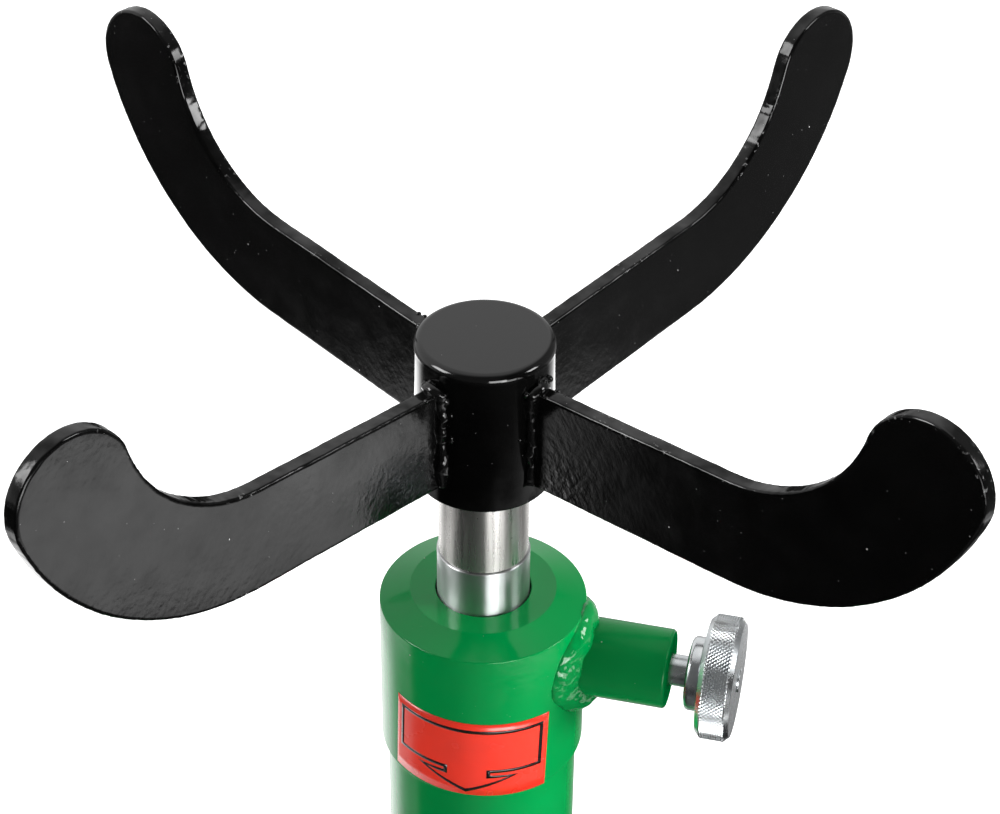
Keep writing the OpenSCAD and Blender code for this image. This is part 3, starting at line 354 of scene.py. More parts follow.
def make_finishes(colours):
    """Every finish of the jack, by name."""
    tone = {name: list(getattr(colours, name)) for name in JackColours.__annotations__}
    pale_green = [0.5 * a + 0.5 * b for a, b in zip(tone["green"], tone["dust"])]
    green = (tone["green"], tone["green_deep"], pale_green)
    black = (tone["black"], tone["black_deep"], tone["dust"])
    for name, label, tones, peel, roughness, more in (
            ("green", "baked_green_enamel", green, 0.03, 0.12, {"ior": 1.36}),
            # The boss is sprayed thin over a sawn bar, so it shines less
            ("thin_green", "thin_green_enamel", green, 0.03, 0.22,
             {"ior": 1.36, "shine": 0.25,
              "matt_end": (SCREW_TURN["axis"], BOSS_REACH * MM)}),
            ("turned_green", "green_enamel_on_turned_steel", green, 0.02, 0.1,
             {"ior": 1.36, "ripple": 0.008 * MM}),
            ("black", "baked_black_enamel", black, 0.025, 0.1, {}),
            ("hub_black", "black_enamel_on_hub", black, 0.012, 0.09, {"dull_sides": True}),
            ("plate_black", "black_enamel_on_cut_plate", black, 0.03, 0.11,
             {"leather": 0.14 * MM, "chips_and_glints": True}),
            ("weld_black", "black_enamel_on_weld", black, 0.03, 0.07, {}),
            ("weld_green", "green_enamel_on_weld", green, 0.03, 0.07, {})):
        finishes[name] = enamel(label, *tones, peel * MM, roughness, **more)
    for name, label in (("stem", "turned_steel"), ("steel", "bright_drawn_steel")):
        finishes[name] = turned_steel(label, tone["steel"], tone["steel_deep"])
    finishes["chrome"] = hard_chrome("hard_chrome", tone["chrome"])
    # Bright zinc plate over machined steel: cool grey, satin, a little cloudy
    finishes["zinc"] = clouded(
        "zinc_plate", {"Metallic": 1.0}, (5, 4.0), (tone["zinc_deep"], tone["zinc"]),
        (0.34, 0.2), (0.6, 2.0, 0.008))
    # Sintered bronze, machined: warm, dull, finely porous
    finishes["bronze"] = clouded(
        "sintered_bronze", {"Metallic": 1.0}, (0.5, 3.0),
        (dimmed(tone["bronze"], 0.4), tone["bronze"]), (0.5, 0.32), (0.5, 3.0, 0.02),
        (0.35, 0.6))
    # Nitrile rubber, moulded: almost black, matt, with a fine grain and a dusty bloom
    finishes["rubber"] = clouded(
        "nitrile_rubber", {"IOR": 1.52}, (14, 4.0),
        (dimmed(tone["rubber"], 0.4), tone["rubber"]), (0.55, 0.75), (0.5, 3.0, 0.03))
    # Polyamide, moulded: black, with a soft sheen, a spark-eroded texture and scuffs
    finishes["nylon"] = clouded(
        "black_polyamide", {"IOR": 1.53}, (4, 5.0),
        (dimmed(tone["nylon"], 0.5), tone["nylon"]), (0.36, 0.52), (0.4, 2.0, 0.015),
        (0.45, 0.7))
    # Vinyl film, printed and laminated: flat colour under a clear gloss
    for name, label in (("red", "red_vinyl"), ("ink", "black_print")):
        finishes[name] = clouded(
            label, {"IOR": 1.46, "Coat Weight": 0.5, "Coat Roughness": 0.1}, (8, 3.0),
            (dimmed(tone[name], 0.9), tone[name]), (0.3, 0.22), (3, 2.0, 0.015))


# What stays hidden inside the column keeps its solid, with the right finish
NODE_FINISH = {
    "steel": ["pressure_cylinder", "piston", "piston_nut", "stop_sleeve"],
    "chrome": ["check_balls", "release_ball"],
    "bronze": ["tube_gaskets", "guide_bush", "clamp_pad"],
    "rubber": ["rod_seal", "pump_seal", "piston_seal"],
}

# Solids that are shown as they are, but with their edges broken: their finish, their
# slot and the size that rounds them
SHOWN_NODES = {
    "base_plate": ("green", "green_paint", "casting_edge"),
    "pump_block": ("green", "green_paint", "casting_edge"),
    "pedal_bracket": ("green", "green_paint", "paint_edge"),
    "reservoir_tube": ("green", "green_paint", "machined_edge"),
    "carry_handle": ("black", "black_paint", "machined_edge"),
    "leg_end_caps": ("nylon", "nylon", "moulded_edge"),
    "castor_stems": ("zinc", "zinc", "machined_edge"),
    "filler_plug": ("zinc", "zinc", "machined_edge"),
    "pump_gland_nut": ("zinc", "zinc", "machined_edge"),
    "valve_plugs": ("zinc", "zinc", "machined_edge"),
    "pedal_pivot_pin": ("zinc", "zinc", "machined_edge"),
    "wiper_seal": ("rubber", "rubber", "machined_edge"),
    "pump_plunger": ("chrome", "chrome", "machined_edge"),
    "pedal_lever": ("black", "black_paint", "paint_edge"),
    "pedal_pad": ("rubber", "rubber", "moulded_edge"),
    "release_spindle": ("zinc", "zinc", "machined_edge"),
    "release_knob": ("nylon", "black_plastic", "moulded_edge"),
}
for quarter in QUARTERS:
    SHOWN_NODES["leg_" + quarter] = ("green", "green_paint", "casting_edge")
    SHOWN_NODES["castor_fork_" + quarter] = ("zinc", "zinc", "paint_edge")
    SHOWN_NODES["castor_wheel_" + quarter] = ("nylon", "nylon", "moulded_edge")

BODY_OF = {node: body for body, nodes in frame["record"]["behaviour"]["bodies"].items()
           for node in nodes}


class JACK_OT_finishes(bpy.types.Operator):
    """Makes every finish and gives the hidden solids theirs"""
    bl_idname = "jack.finishes"
    bl_label = "Finishes"

    def execute(self, context):
        make_finishes(context.scene.jack_colours)
        for finish, names in NODE_FINISH.items():
            for name in names:
                mesh = frame["nodes"][name].data
                mesh.materials.clear()
                mesh.materials.append(finishes[finish])
        return {"FINISHED"}


def placed(name, data):
    """A new object in the scene."""
    obj = bpy.data.objects.new(name, data)
    bpy.context.scene.collection.objects.link(obj)
    return obj


def piece(mesh, name, finish, body, replaced=()):
    """Puts a finished mesh in the scene as a piece of the jack."""
    obj = placed(name, mesh)
    mesh.materials.clear()
    mesh.materials.append(finishes[finish])
    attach(obj, body)
    if replaced:
        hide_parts(*replaced)
    return obj


def shown(bm, name):
    """A smooth mesh from a bmesh, with its faces turned outwards."""
    bmesh.ops.recalc_face_normals(bm, faces=bm.faces[:])
    mesh = bpy.data.meshes.new(name)
    bm.to_mesh(mesh)
    bm.free()
    mesh.polygons.foreach_set("use_smooth", [True] * len(mesh.polygons))
    return mesh


def worked(work, name):
    """The mesh that an object's modifiers make of it; the object goes."""
    seen = work.evaluated_get(bpy.context.evaluated_depsgraph_get())
    made = bpy.data.meshes.new_from_object(seen)
    made.name = name
    bpy.data.objects.remove(work)
    return made


def settled(mesh, *steps):
    """The mesh after modifiers, each a kind and its settings."""
    work = placed("work", mesh)
    for kind, settings in steps:
        step = work.modifiers.new(kind.lower(), kind)
        for key, value in settings.items():
            setattr(step, key, value)
    return worked(work, mesh.name)


WEIGHTED = ("WEIGHTED_NORMAL", {"keep_sharp": True})


def rounded(corners, steps=4):
    """A closed outline from corners of (x, y, fillet radius), in millimetres."""
    points = []
    for i, (x, y, fillet) in enumerate(corners):
        here = Vector((x, y))
        if fillet <= 0:
            points.append(here)
            continue
        before = (Vector(corners[i - 1][:2]) - here).normalized()
        after = (Vector(corners[(i + 1) % len(corners)][:2]) - here).normalized()
        half = before.angle(after) / 2
        centre = here + (before + after).normalized() * fillet / math.sin(half)
        start = here + before * fillet / math.tan(half) - centre
        end = here + after * fillet / math.tan(half) - centre
        turn = start.angle_signed(end)
        for k in range(steps + 1):
            points.append(centre + Matrix.Rotation(-turn * k / steps, 2) @ start)
    return points


def ring(bm, sides, r, z):
    """Vertices round the z axis, in millimetres; r and z may be functions of the angle."""
    if r == 0:
        return [bm.verts.new((0, 0, z * MM))] * sides
    made = []
    for a in (2 * math.pi * k / sides for k in range(sides)):
        far, high = (v(a) if callable(v) else v for v in (r, z))
        made.append(bm.verts.new((far * MM * math.cos(a), far * MM * math.sin(a),
                                  high * MM)))
    return made


def walls(bm, rings):
    """Faces between each ring of vertices and the next one."""
    for lower, upper in zip(rings, rings[1:]):
        for k in range(len(lower)):
            after = (k + 1) % len(lower)
            corners = dict.fromkeys((lower[k], lower[after], upper[after], upper[k]))
            if len(corners) > 2:
                bm.faces.new(tuple(corners))


def barrel(bm, rings):
    """Walls between rings, with a face at each end."""
    walls(bm, rings)
    bm.faces.new(rings[0][::-1])
    bm.faces.new(rings[-1])


def turned(name, corners, segments=128, steps=4, place=None):
    """A turned piece: its closed half section, in millimetres, goes round the z axis."""
    bm = bmesh.new()
    rings = [ring(bm, segments, r, z) for r, z in rounded(corners, steps)]
    walls(bm, rings + rings[:1])
    if place is not None:
        bmesh.ops.transform(bm, matrix=place, verts=bm.verts[:])
    return settled(shown(bm, name), WEIGHTED)


def softened(node, width):
    """A copy of a CAD node with its sharp edges rounded."""
    bm = bmesh.new()
    bm.from_mesh(frame["nodes"][node].data)
    bmesh.ops.remove_doubles(bm, verts=bm.verts[:], dist=0.002 * MM)
    bmesh.ops.dissolve_limit(bm, angle_limit=math.radians(0.5), verts=bm.verts[:],
                             edges=bm.edges[:])
    return settled(shown(bm, node + "_finished"), ("BEVEL", {
        "width": width, "segments": 2, "limit_method": "ANGLE",
        "angle_limit": math.radians(30), "harden_normals": False,
        "use_clamp_overlap": True, "miter_outer": "MITER_ARC"}), WEIGHTED)


def swept(bm, path, radius, sides=14, closed=False):
    """Adds a bead along a path of points; radius is a function of share and place."""
    count = len(path)
    rings = []
    up = None
    for i, point in enumerate(path):
        before = path[i - 1] if i or closed else point
        after = path[(i + 1) % count] if i + 1 < count or closed else point
        along = (after - before).normalized()
        if up is None:
            up = along.orthogonal().normalized()
        up = (up - along * up.dot(along)).normalized()
        side = along.cross(up)
        share = i / (count if closed else count - 1)
        made = []
        for k in range(sides):
            a = 2 * math.pi * k / sides
            out = math.cos(a) * up + math.sin(a) * side
            made.append(bm.verts.new(point + radius(share, point + 2 * MM * out) * out))
        rings.append(made)
    if not closed:
        barrel(bm, rings)
        return
    # The last ring meets the first one with the least twist
    first, corner = rings[0], rings[-1][0].co
    twist = min(range(sides), key=lambda s: (first[s].co - corner).length)
    walls(bm, rings + [first[twist:] + first[:twist]])


def blob(bm, centre, radius, squash, seed):
    """Adds a drop of weld metal, squashed along the z axis."""
    made = bmesh.ops.create_icosphere(bm, subdivisions=3, radius=radius)["verts"]
    for v in made:
        lump = noise.noise(v.co / radius * 1.3 + Vector((seed, 0, 0)))
        v.co *= 1 + 0.28 * lump
        v.co.z *= squash
        v.co += centre


def melted(bm, name, voxel, lumps):
    """One molten skin over beads and drops; lumps are pairs of size and height."""
    bmesh.ops.recalc_face_normals(bm, faces=bm.faces[:])
    mesh = settled(shown(bm, name), (
        "REMESH", {"mode": "VOXEL", "voxel_size": voxel, "use_smooth_shade": True}),
        ("SMOOTH", {"factor": 0.5, "iterations": 3}))
    bm = bmesh.new()
    bm.from_mesh(mesh)
    bm.normal_update()
    for size, height in lumps:
        for v in bm.verts:
            v.co += v.normal * height * noise.noise(v.co / size)
    return shown(bm, name)


def arm_outline():
    """Outline of a saddle arm, in millimetres from the axis and from the hub's top."""
    rise, tip_turn = math.radians(4.6), math.radians(-14.6)
    along = Vector((math.cos(rise), math.sin(rise)))
    above = Vector((-math.sin(rise), math.cos(rise)))
    # The bar's depth, the radius inside the hook and that of its round tip
    bar, hollow, tip = 41.0, 58.5, 22.5
    # The hub's radius, where the hook starts, and where the bar ends inside the hub
    hub_r, hook, inner = 25.0, 104.0, 20.0
    top = Vector((hub_r, -9.5))
    run = (hook - hub_r + hollow * math.sin(rise)) / math.cos(rise)
    hollow_c = top + run * along + hollow * above
    tip_c = hollow_c + (hollow + tip) * Vector((math.cos(tip_turn), math.sin(tip_turn)))
    foot = top - bar * above
    heel = foot + run * along
    x, y = (tip_c - heel).dot(along), (tip_c - heel).dot(above)
    outer = (x * x + y * y - tip * tip) / (2 * (y - tip))
    outer_c = heel + outer * above
    outer_a = math.atan2(tip_c.y - outer_c.y, tip_c.x - outer_c.x)
    points = [foot - (hub_r - inner) / along.x * along]
    steps = 70
    points += [foot + run * k / steps * along for k in range(steps)]
    for centre, radius, start, end, count in (
            (outer_c, outer, rise - math.pi / 2, outer_a, 110),
            (tip_c, tip, outer_a, tip_turn + math.pi, 60),
            (hollow_c, hollow, tip_turn + 2 * math.pi, rise + 1.5 * math.pi, 80)):
        points += [centre + radius * Vector((math.cos(a), math.sin(a))) for a in
                   (start + (end - start) * k / count for k in range(count))]
    points += [top + run * (1 - k / steps) * along for k in range(steps + 1)]
    points.append(top - (hub_r - inner) / along.x * along)
    return points


CUT_BACK = 0.2  # millimetres that the painted edge keeps inside the solid's


def cut_plate(name, outline, thick, edge, seed):
    """A flame-cut plate: rounded painted edges over a wavy, ribbed cut."""
    count = len(outline)
    bm = bmesh.new()
    normals = []
    for i in range(count):
        d = (outline[(i + 1) % count] - outline[i - 1]).normalized()
        normals.append(Vector((d.y, -d.x)))
    # The profile across the edge: inset, height and how much wear and painted glint shows there
    steps = 4
    half = [(edge + 1.2, thick / 2, 0.0), (edge + 0.5, thick / 2, 0.35)]
    half += [(edge * (1 - math.sin(t)), thick / 2 - edge * (1 - math.cos(t)), 1.0)
             for t in (math.pi / 2 * k / steps for k in range(steps + 1))]
    profile = half + [(0.0, thick / 2 - edge - (thick - 2 * edge) * k / 3, 0.5)
                      for k in (1, 2)]
    profile += [(inset, -height, wear_and_glint) for inset, height, wear_and_glint in reversed(half)]
    rows = []
    wear_and_glint_shares = []
    for inset, height, wear_and_glint in profile:
        row = []
        for i, point in enumerate(outline):
            wave = 0.16 * noise.noise((point.x / 14, point.y / 14, seed))
            rib = 0.07 * noise.noise((i * 0.9, height * 0.12, seed + 9))
            nick = 0.13 * noise.noise((i * 0.5, height * 0.5, seed + 5))
            place = point + normals[i] * (wave + rib + nick - CUT_BACK - inset)
            row.append(bm.verts.new((place.x * MM, place.y * MM, height * MM)))
            wear_and_glint_shares.append(wear_and_glint)
        rows.append(row)
    walls(bm, rows)
    for row in (rows[0], rows[-1]):
        bmesh.ops.triangulate(bm, faces=[bm.faces.new(row)])
    mesh = shown(bm, name)
    mesh.attributes.new("edge", "FLOAT", "POINT").data.foreach_set("value", wear_and_glint_shares)
    return settled(mesh, WEIGHTED)


# Degrees by which each arm is off its quarter, as welded by hand
ARM_SET = {"back_right": 0.2, "back_left": -2.0, "front_left": 0.7, "front_right": 0.0}


def saddle_bead(quarter, turn, hub_r, wide, draw):
    """Weld between the hub and an arm: up one side, over the top and down the other."""
    def at(out, side, high):
        return turn @ Vector((out * MM, side * MM, high * MM)) + Vector((0, 0, HUB_TOP))

    def on_hub(side):
        return math.sqrt(hub_r ** 2 - side ** 2)

    def thick(share, point):
        lump = noise.noise(point / (11 * MM) + seed)
        knob = noise.noise(point / (4.6 * MM) + seed)
        return wide * (1 + 0.5 * lump + 0.14 * knob)

    corner = on_hub(PLATE / 2)
    points, pitch, beside = 45, 0.89, PLATE / 2 + 0.3
    path = [(corner + 0.5, -beside, -49.6 + k * pitch) for k in range(points)]
    path += [(corner + 0.4 + 0.8 * math.sin(math.pi * k / 8), -beside + k * 0.83,
              -10.4 + 1.0 * math.sin(math.pi * k / 8)) for k in range(1, 8)]
    path += [(corner + 0.5, beside, -10.5 - k * pitch) for k in range(points)]
    seed = Vector((draw.uniform(0, 50), 0, 0))
    for k, (x, y, z) in enumerate(path):
        drift = noise.noise(Vector((k * 0.17, 5, 0)) + seed)
        path[k] = at(x, y + 0.55 * drift, z)
    bm = bmesh.new()
    swept(bm, path, thick)
    # Drops of weld metal at the top of the joint, then on the arm and on the hub
    for k in range(9):
        side = draw.uniform(-6.5, 6.5)
        high = draw.uniform(-11.5, -6.0) - 0.5 * abs(side)
        place = at(on_hub(side) + draw.uniform(-0.2, 0.5), side, high)
        blob(bm, place, draw.uniform(0.8, 1.7) * MM, draw.uniform(0.7, 1.2), 7.3 * k)
    for k in range(7):
        out = draw.uniform(26.0, 36.0)
        place = at(out, draw.choice((-1, 1)) * draw.uniform(1.4, 3.0),
                   -9.9 + (out - 25) * 0.08)
        blob(bm, place, draw.uniform(0.45, 0.95) * MM, 0.8, 3.1 * k)
    for k in range(6):
        side = draw.choice((-1, 1)) * draw.uniform(5.0, 8.0)
        place = at(on_hub(side), side, draw.uniform(-50, -16))
        blob(bm, place, draw.uniform(0.4, 0.9) * MM, 1.6, 5.7 * k)
    return melted(bm, "weld_" + quarter, 0.36 * MM,
                  ((6 * MM, 0.4 * MM), (2.6 * MM, 0.12 * MM)))


class JACK_OT_saddle(bpy.types.Operator):
    """Hub, arms, weld beads and stem of the saddle"""
    bl_idname = "jack.saddle"
    bl_label = "Saddle"

    def execute(self, context):
        sizes = context.scene.jack_sizes
        draw = random.Random(11)
        hub_r, foot, top = measured("saddle_hub")
        stem_r, spigot = measured("saddle_stem")[:2]
        bore = stem_r + 0.02
        piece(turned("hub", [(0, top, 0), (hub_r, top, sizes.hub_edge / MM),
                             (hub_r, foot, 0.8), (bore, foot, 0.3),
                             (bore, foot + 30, 0), (0, foot + 30, 0)],
                     segments=160, steps=8),
              "hub", "hub_black", "saddle", ["saddle_hub"])
        outline = arm_outline()
        for index, quarter in enumerate(QUARTERS):
            turn = Matrix.Rotation(math.radians(45 + 90 * index + ARM_SET[quarter]), 4, "Z")
            stand = Matrix.Translation((0, 0, HUB_TOP)) @ turn @ Matrix.Rotation(
                math.pi / 2, 4, "X")
            mesh = cut_plate("arm_" + quarter, outline, PLATE, sizes.paint_edge / MM,
                             3.7 * index)
            mesh.transform(stand)
            piece(mesh, "arm_" + quarter, "plate_black", "saddle",
                  ["saddle_arm_" + quarter])
            piece(saddle_bead(quarter, turn, hub_r, sizes.weld_bead, draw),
                  "weld_" + quarter, "weld_black", "saddle",
                  ["saddle_welds"])
        # The stem stands on the ram with 0.3 mm between them, and its spigot goes inside
        stem_foot = measured("ram")[2] + 0.3
        spigot_r = 11
        piece(turned("stem", [(0, foot + 20, 0), (stem_r, foot + 20, 0),
                              (stem_r, stem_foot, 0.35), (spigot_r, stem_foot, 0),
                              (spigot_r, spigot, 0.5), (0, spigot, 0)], segments=160),
              "stem", "stem", "saddle", ["saddle_stem"])
        return {"FINISHED"}


class JACK_OT_ram(bpy.types.Operator):
    """Plated ram, with the bore that takes the saddle's spigot"""
    bl_idname = "jack.ram"
    bl_label = "Ram"

    def execute(self, context):
        r, foot, top = measured("ram")
        shoulder = measured("piston")[2]
        bore = measured("saddle_stem")[1] - 1
        neck_r, bore_r = 12, 11.1
        piece(turned("ram_plated", [
            (0, foot, 0), (neck_r, foot, 0.5), (neck_r, shoulder, 0), (r, shoulder, 0.3),
            (r, top, 0.4), (bore_r, top, 0.2), (bore_r, bore, 0), (0, bore, 0)],
            segments=160), "ram_plated", "chrome", "ram", ["ram"])
        return {"FINISHED"}


def clamp_place(out):
    """Where the clamp screw's axis is, out metres from the ram's axis, its z outwards."""
    axis = Vector(SCREW_TURN["axis"])
    lo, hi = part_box("clamp_knob")
    turn = axis.to_track_quat("Z", "Y").to_matrix().to_4x4()
    return Matrix.Translation(Vector((0, 0, (lo.z + hi.z) / 2)) + axis * out) @ turn


def boss_fillet(collar_r, boss_r):
    """Fillet weld round the boss: legs of 7 and 5.5 mm, fuller underneath."""
    bm = bmesh.new()
    around, steps, curve = 200, 14, 1.15
    rows = []
    for k in range(around):
        a = 2 * math.pi * k / around
        way = Vector((math.cos(a), math.sin(a), 0))
        low = math.exp(-((math.degrees(a) - 262) / 34) ** 2)
        rise = 6.9 + 0.55 * noise.noise(way * 2.2 + Vector((0, 0, 4)))
        reach = 5.2 + 0.9 * noise.noise(way * 2.6 + Vector((0, 0, 9))) + 3.0 * low
        row = []
        for s in range(steps + 1):
            t = math.pi / 2 * s / steps
            wide = boss_r + rise * math.cos(t) ** curve
            side = wide * math.cos(a)
            base = math.sqrt(collar_r ** 2 - side ** 2) - 0.25
            row.append((side, wide * math.sin(a),
                        base + (reach + 0.25) * math.sin(t) ** curve))
        # Back inside the boss and the collar, where it doesn't show
        for (x, y, z), drop in ((row[-1], 0.2), (row[0], 3.0)):
            row.append((x * 0.9, y * 0.9, z - drop))
        rows.append([bm.verts.new(Vector(p) * MM) for p in row])
    walls(bm, rows + rows[:1])
    return melted(bm, "boss_fillet", 0.55 * MM,
                  ((8.0 * MM, 0.7 * MM), (3.4 * MM, 0.32 * MM), (1.4 * MM, 0.08 * MM)))


class JACK_OT_collar(bpy.types.Operator):
    """Collar, boss and their weld"""
    bl_idname = "jack.collar"
    bl_label = "Collar"

    def execute(self, context):
        r, foot, top = measured("collar")
        tube = measured("reservoir_tube")[0] + 0.05
        # Radii of the bore, of the flat top, of the recess and of the neck inside
        bore, flat, recess, neck = 17.85, 27.35, 22.4, 19.9
        cone = top - 4.3
        piece(turned("collar_turned", [
            (bore, top, 0.5), (flat, top, 0.3), (r, cone, 0.7), (r, foot, 1.0),
            (tube, foot, 0.4), (tube, foot + 9, 0), (recess, foot + 9, 0),
            (recess, foot + 3, 0), (neck, foot + 3, 0), (neck, foot + 25, 0),
            (bore, foot + 25, 0)], segments=192, steps=5),
            "collar_turned", "turned_green", "base", ["collar"])
        piece(turned("boss", [
            (SCREW_BORE, BOSS_FOOT, 0), (BOSS_R, BOSS_FOOT, 0), (BOSS_R, BOSS_REACH, 1.2),
            (SCREW_BORE, BOSS_REACH, 0.4)], segments=96, place=clamp_place(0)),
              "boss", "thin_green", "base", ["clamp_boss"])
        bead = boss_fillet(r, BOSS_R)
        bead.transform(clamp_place(0))
        piece(bead, "boss_fillet", "weld_green", "base", ["boss_weld"])
        return {"FINISHED"}


def wrapped(points, lift, label):
    """Points of (share across, share up) on the collar, lifted off it, in metres."""
    across, up = label["wide"], label["high"]
    made = []
    for a, h in points:
        x, y = (a - 0.5) * across, (h - 0.5) * up
        c, s = math.cos(label["turn"]), math.sin(label["turn"])
        x, y = x * c - y * s, x * s + y * c
        angle = label["facing"] + x / label["r"]
        made.append(Vector(((label["r"] + lift) * math.cos(angle),
                            (label["r"] + lift) * math.sin(angle), label["z"] + y)) * MM)
    return made


def label_film(label):
    """The film itself, 0.15 mm thick."""
    bm = bmesh.new()
    across, up = 60, 8
    skins = []
    for lift in (0.04, 0.19):
        skin = []
        for j in range(up + 1):
            row = wrapped([(i / across, j / up) for i in range(across + 1)], lift, label)
            skin.append([bm.verts.new(p) for p in row])
        skins.append(skin)
    for skin in skins:
        for j in range(up):
            for i in range(across):
                bm.faces.new((skin[j][i], skin[j][i + 1], skin[j + 1][i + 1],
                              skin[j + 1][i]))
    inner, outer = skins
    rims = [(i, 0) for i in range(across)] + [(across, j) for j in range(up)]
    rims += [(i, up) for i in range(across, 0, -1)] + [(0, j) for j in range(up, 0, -1)]
    for k, (i, j) in enumerate(rims):
        m, n = rims[(k + 1) % len(rims)]
        bm.faces.new((inner[j][i], inner[n][m], outer[n][m], outer[j][i]))
    return shown(bm, "label_film")


# Corners of the arrow on the label, as shares of its width and height
ARROW_SHARES = [(0.05, 0.89), (0.95, 0.89), (0.95, 0.345), (0.63, 0.345), (0.63, 0.27),
                (0.785, 0.27), (0.50, 0.06), (0.215, 0.27), (0.37, 0.27), (0.37, 0.345),
                (0.05, 0.345)]


def label_arrow(label, line):
    """A printed outline of an arrow that points down; line is its width in millimetres."""
    wide, high = label["wide"], label["high"]
    corners = [Vector((a * wide, h * high)) for a, h in ARROW_SHARES]
    bm = bmesh.new()
    count = len(corners)
    rails = []
    for i in range(count):
        before = (corners[i] - corners[i - 1]).normalized()
        after = (corners[(i + 1) % count] - corners[i]).normalized()
        bisector = Vector((before.y + after.y, -before.x - after.x)).normalized()
        reach = line / 2 / max(0.4, bisector.dot(Vector((after.y, -after.x))))
        rails.append((corners[i] + bisector * reach, corners[i] - bisector * reach))
    for i in range(count):
        (a, b), (c, d) = rails[i], rails[(i + 1) % count]
        steps = max(1, round((corners[(i + 1) % count] - corners[i]).length / 1.5))
        strips = []
        for s in range(steps + 1):
            pair = [a.lerp(c, s / steps), b.lerp(d, s / steps)]
            shares = [(p.x / wide, p.y / high) for p in pair]
            strips.append([bm.verts.new(p) for p in wrapped(shares, 0.08, label)
                           + wrapped(shares, 0.28, label)])
        for p, q in zip(strips, strips[1:]):
            bm.faces.new((p[2], q[2], q[3], p[3]))
            bm.faces.new((p[0], p[1], q[1], q[0]))
            bm.faces.new((p[0], q[0], q[2], p[2]))
            bm.faces.new((p[1], p[3], q[3], q[1]))
    bmesh.ops.remove_doubles(bm, verts=bm.verts[:], dist=0.001 * MM)
    return shown(bm, "label_arrow")


class JACK_OT_label(bpy.types.Operator):
    """Red label with a plain arrow"""
    bl_idname = "jack.label"
    bl_label = "Label"

    def execute(self, context):
        r, foot = measured("collar")[:2]
        half = math.asin(56.4 / 2 / r)
        label = {"r": r, "wide": 2 * half * r, "high": 36.0, "turn": math.radians(-2.3),
                 "facing": math.radians(-100.1), "z": foot + 1 + 18}
        piece(label_film(label), "label_film", "red", "base",
              ["collar_label"])
        piece(label_arrow(label, 1.45), "label_arrow", "ink", "base")
        return {"FINISHED"}


def new_tree(name, **inputs):
    """A geometry tree with named inputs: returns it and the group's input sockets."""
    tree = bpy.data.node_groups.new(name, "GeometryNodeTree")
    tree.interface.new_socket("Geometry", in_out="OUTPUT",
                              socket_type="NodeSocketGeometry")
    for label, kind in (*inputs.items(), ("Material", "Material")):
        tree.interface.new_socket(label, in_out="INPUT",
                                  socket_type="NodeSocket" + kind)
    return tree, add(tree, "NodeGroupInput").outputs


def finish_tree(tree, given, geometry):
    """Ends a tree with real instances, smooth shading and the finish."""
    for kind in ("GeometryNodeRealizeInstances", "GeometryNodeSetShadeSmooth"):
        geometry = add(tree, kind, {"Geometry": geometry}).outputs[0]
    coated = add(tree, "GeometryNodeSetMaterial", {
        "Geometry": geometry, "Material": given["Material"]})
    add(tree, "NodeGroupOutput", {"Geometry": coated.outputs[0]})
    return tree


def strewn(tree, given, count, place, shape, more):
    """Ends a tree with a shape on each of count points."""
    points = add(tree, "GeometryNodePoints", {"Count": count})
    spots = add(tree, "GeometryNodeSetPosition", {
        "Geometry": points.outputs[0], "Position": place})
    put = add(tree, "GeometryNodeInstanceOnPoints", {
        "Points": spots.outputs[0], "Instance": shape, **more})
    return finish_tree(tree, given, put.outputs[0])


def spot(tree, angle, radius, up=0.0):
    """A place at an angle round the z axis, and the height up."""
    return add(tree, "ShaderNodeCombineXYZ", {
        "X": sum_of(tree, "MULTIPLY", sum_of(tree, "COSINE", angle, 0), radius),
        "Y": sum_of(tree, "MULTIPLY", sum_of(tree, "SINE", angle, 0), radius),
        "Z": up}).outputs[0]


def level_of(tree, row, rows, pitch):
    """Height of a row, with the rows centred on zero."""
    middle = sum_of(tree, "MULTIPLY", sum_of(tree, "SUBTRACT", rows, 1), 0.5)
    return sum_of(tree, "MULTIPLY", sum_of(tree, "SUBTRACT", row, middle), pitch)


def rod(tree, curve, radius, sides, caps):
    """A round rod along a curve."""
    profile = add(tree, "GeometryNodeCurvePrimitiveCircle", {
        "Resolution": sides, "Radius": radius})
    return add(tree, "GeometryNodeCurveToMesh", {
        "Curve": curve, "Profile Curve": profile.outputs[0], "Fill Caps": caps}).outputs[0]


def knurl_tree():
    """Geometry nodes: diamonds in staggered rows round the z axis."""
    tree, given = new_tree("knurl", Radius="Float", Round="Int", Rows="Int",
                           Pitch="Float", Depth="Float")
    times, over = (partial(sum_of, tree, kind) for kind in ("MULTIPLY", "DIVIDE"))
    index = add(tree, "GeometryNodeInputIndex").outputs[0]
    row = sum_of(tree, "FLOOR", over(index, given["Round"]), 0)
    column = sum_of(tree, "ADD", index, times(row, 0.5))
    angle = times(over(column, given["Round"]), 2 * math.pi)
    up = level_of(tree, row, given["Rows"], given["Pitch"])
    # One diamond: a four-sided cone with its points along the rows and along the axis
    width = times(over(times(given["Radius"], 2 * math.pi), given["Round"]), 0.5)
    cone = add(tree, "GeometryNodeMeshCone", {"Vertices": 4, "Radius Top": 0.14,
                                              "Radius Bottom": 1.0, "Depth": 1.0})
    size = add(tree, "ShaderNodeCombineXYZ", {
        "X": given["Pitch"], "Y": width, "Z": given["Depth"]}).outputs[0]
    turn = add(tree, "FunctionNodeAlignRotationToVector", {
        "axis": "Z", "Vector": spot(tree, angle, 1.0)}).outputs[0]
    turn = add(tree, "FunctionNodeAlignRotationToVector", {
        "axis": "X", "pivot_axis": "Z", "Vector": (0, 0, 1), "Rotation": turn}).outputs[0]
    return strewn(tree, given, times(given["Round"], given["Rows"]),
                  spot(tree, angle, given["Radius"], up), cone.outputs["Mesh"],
                  {"Rotation": turn, "Scale": size})


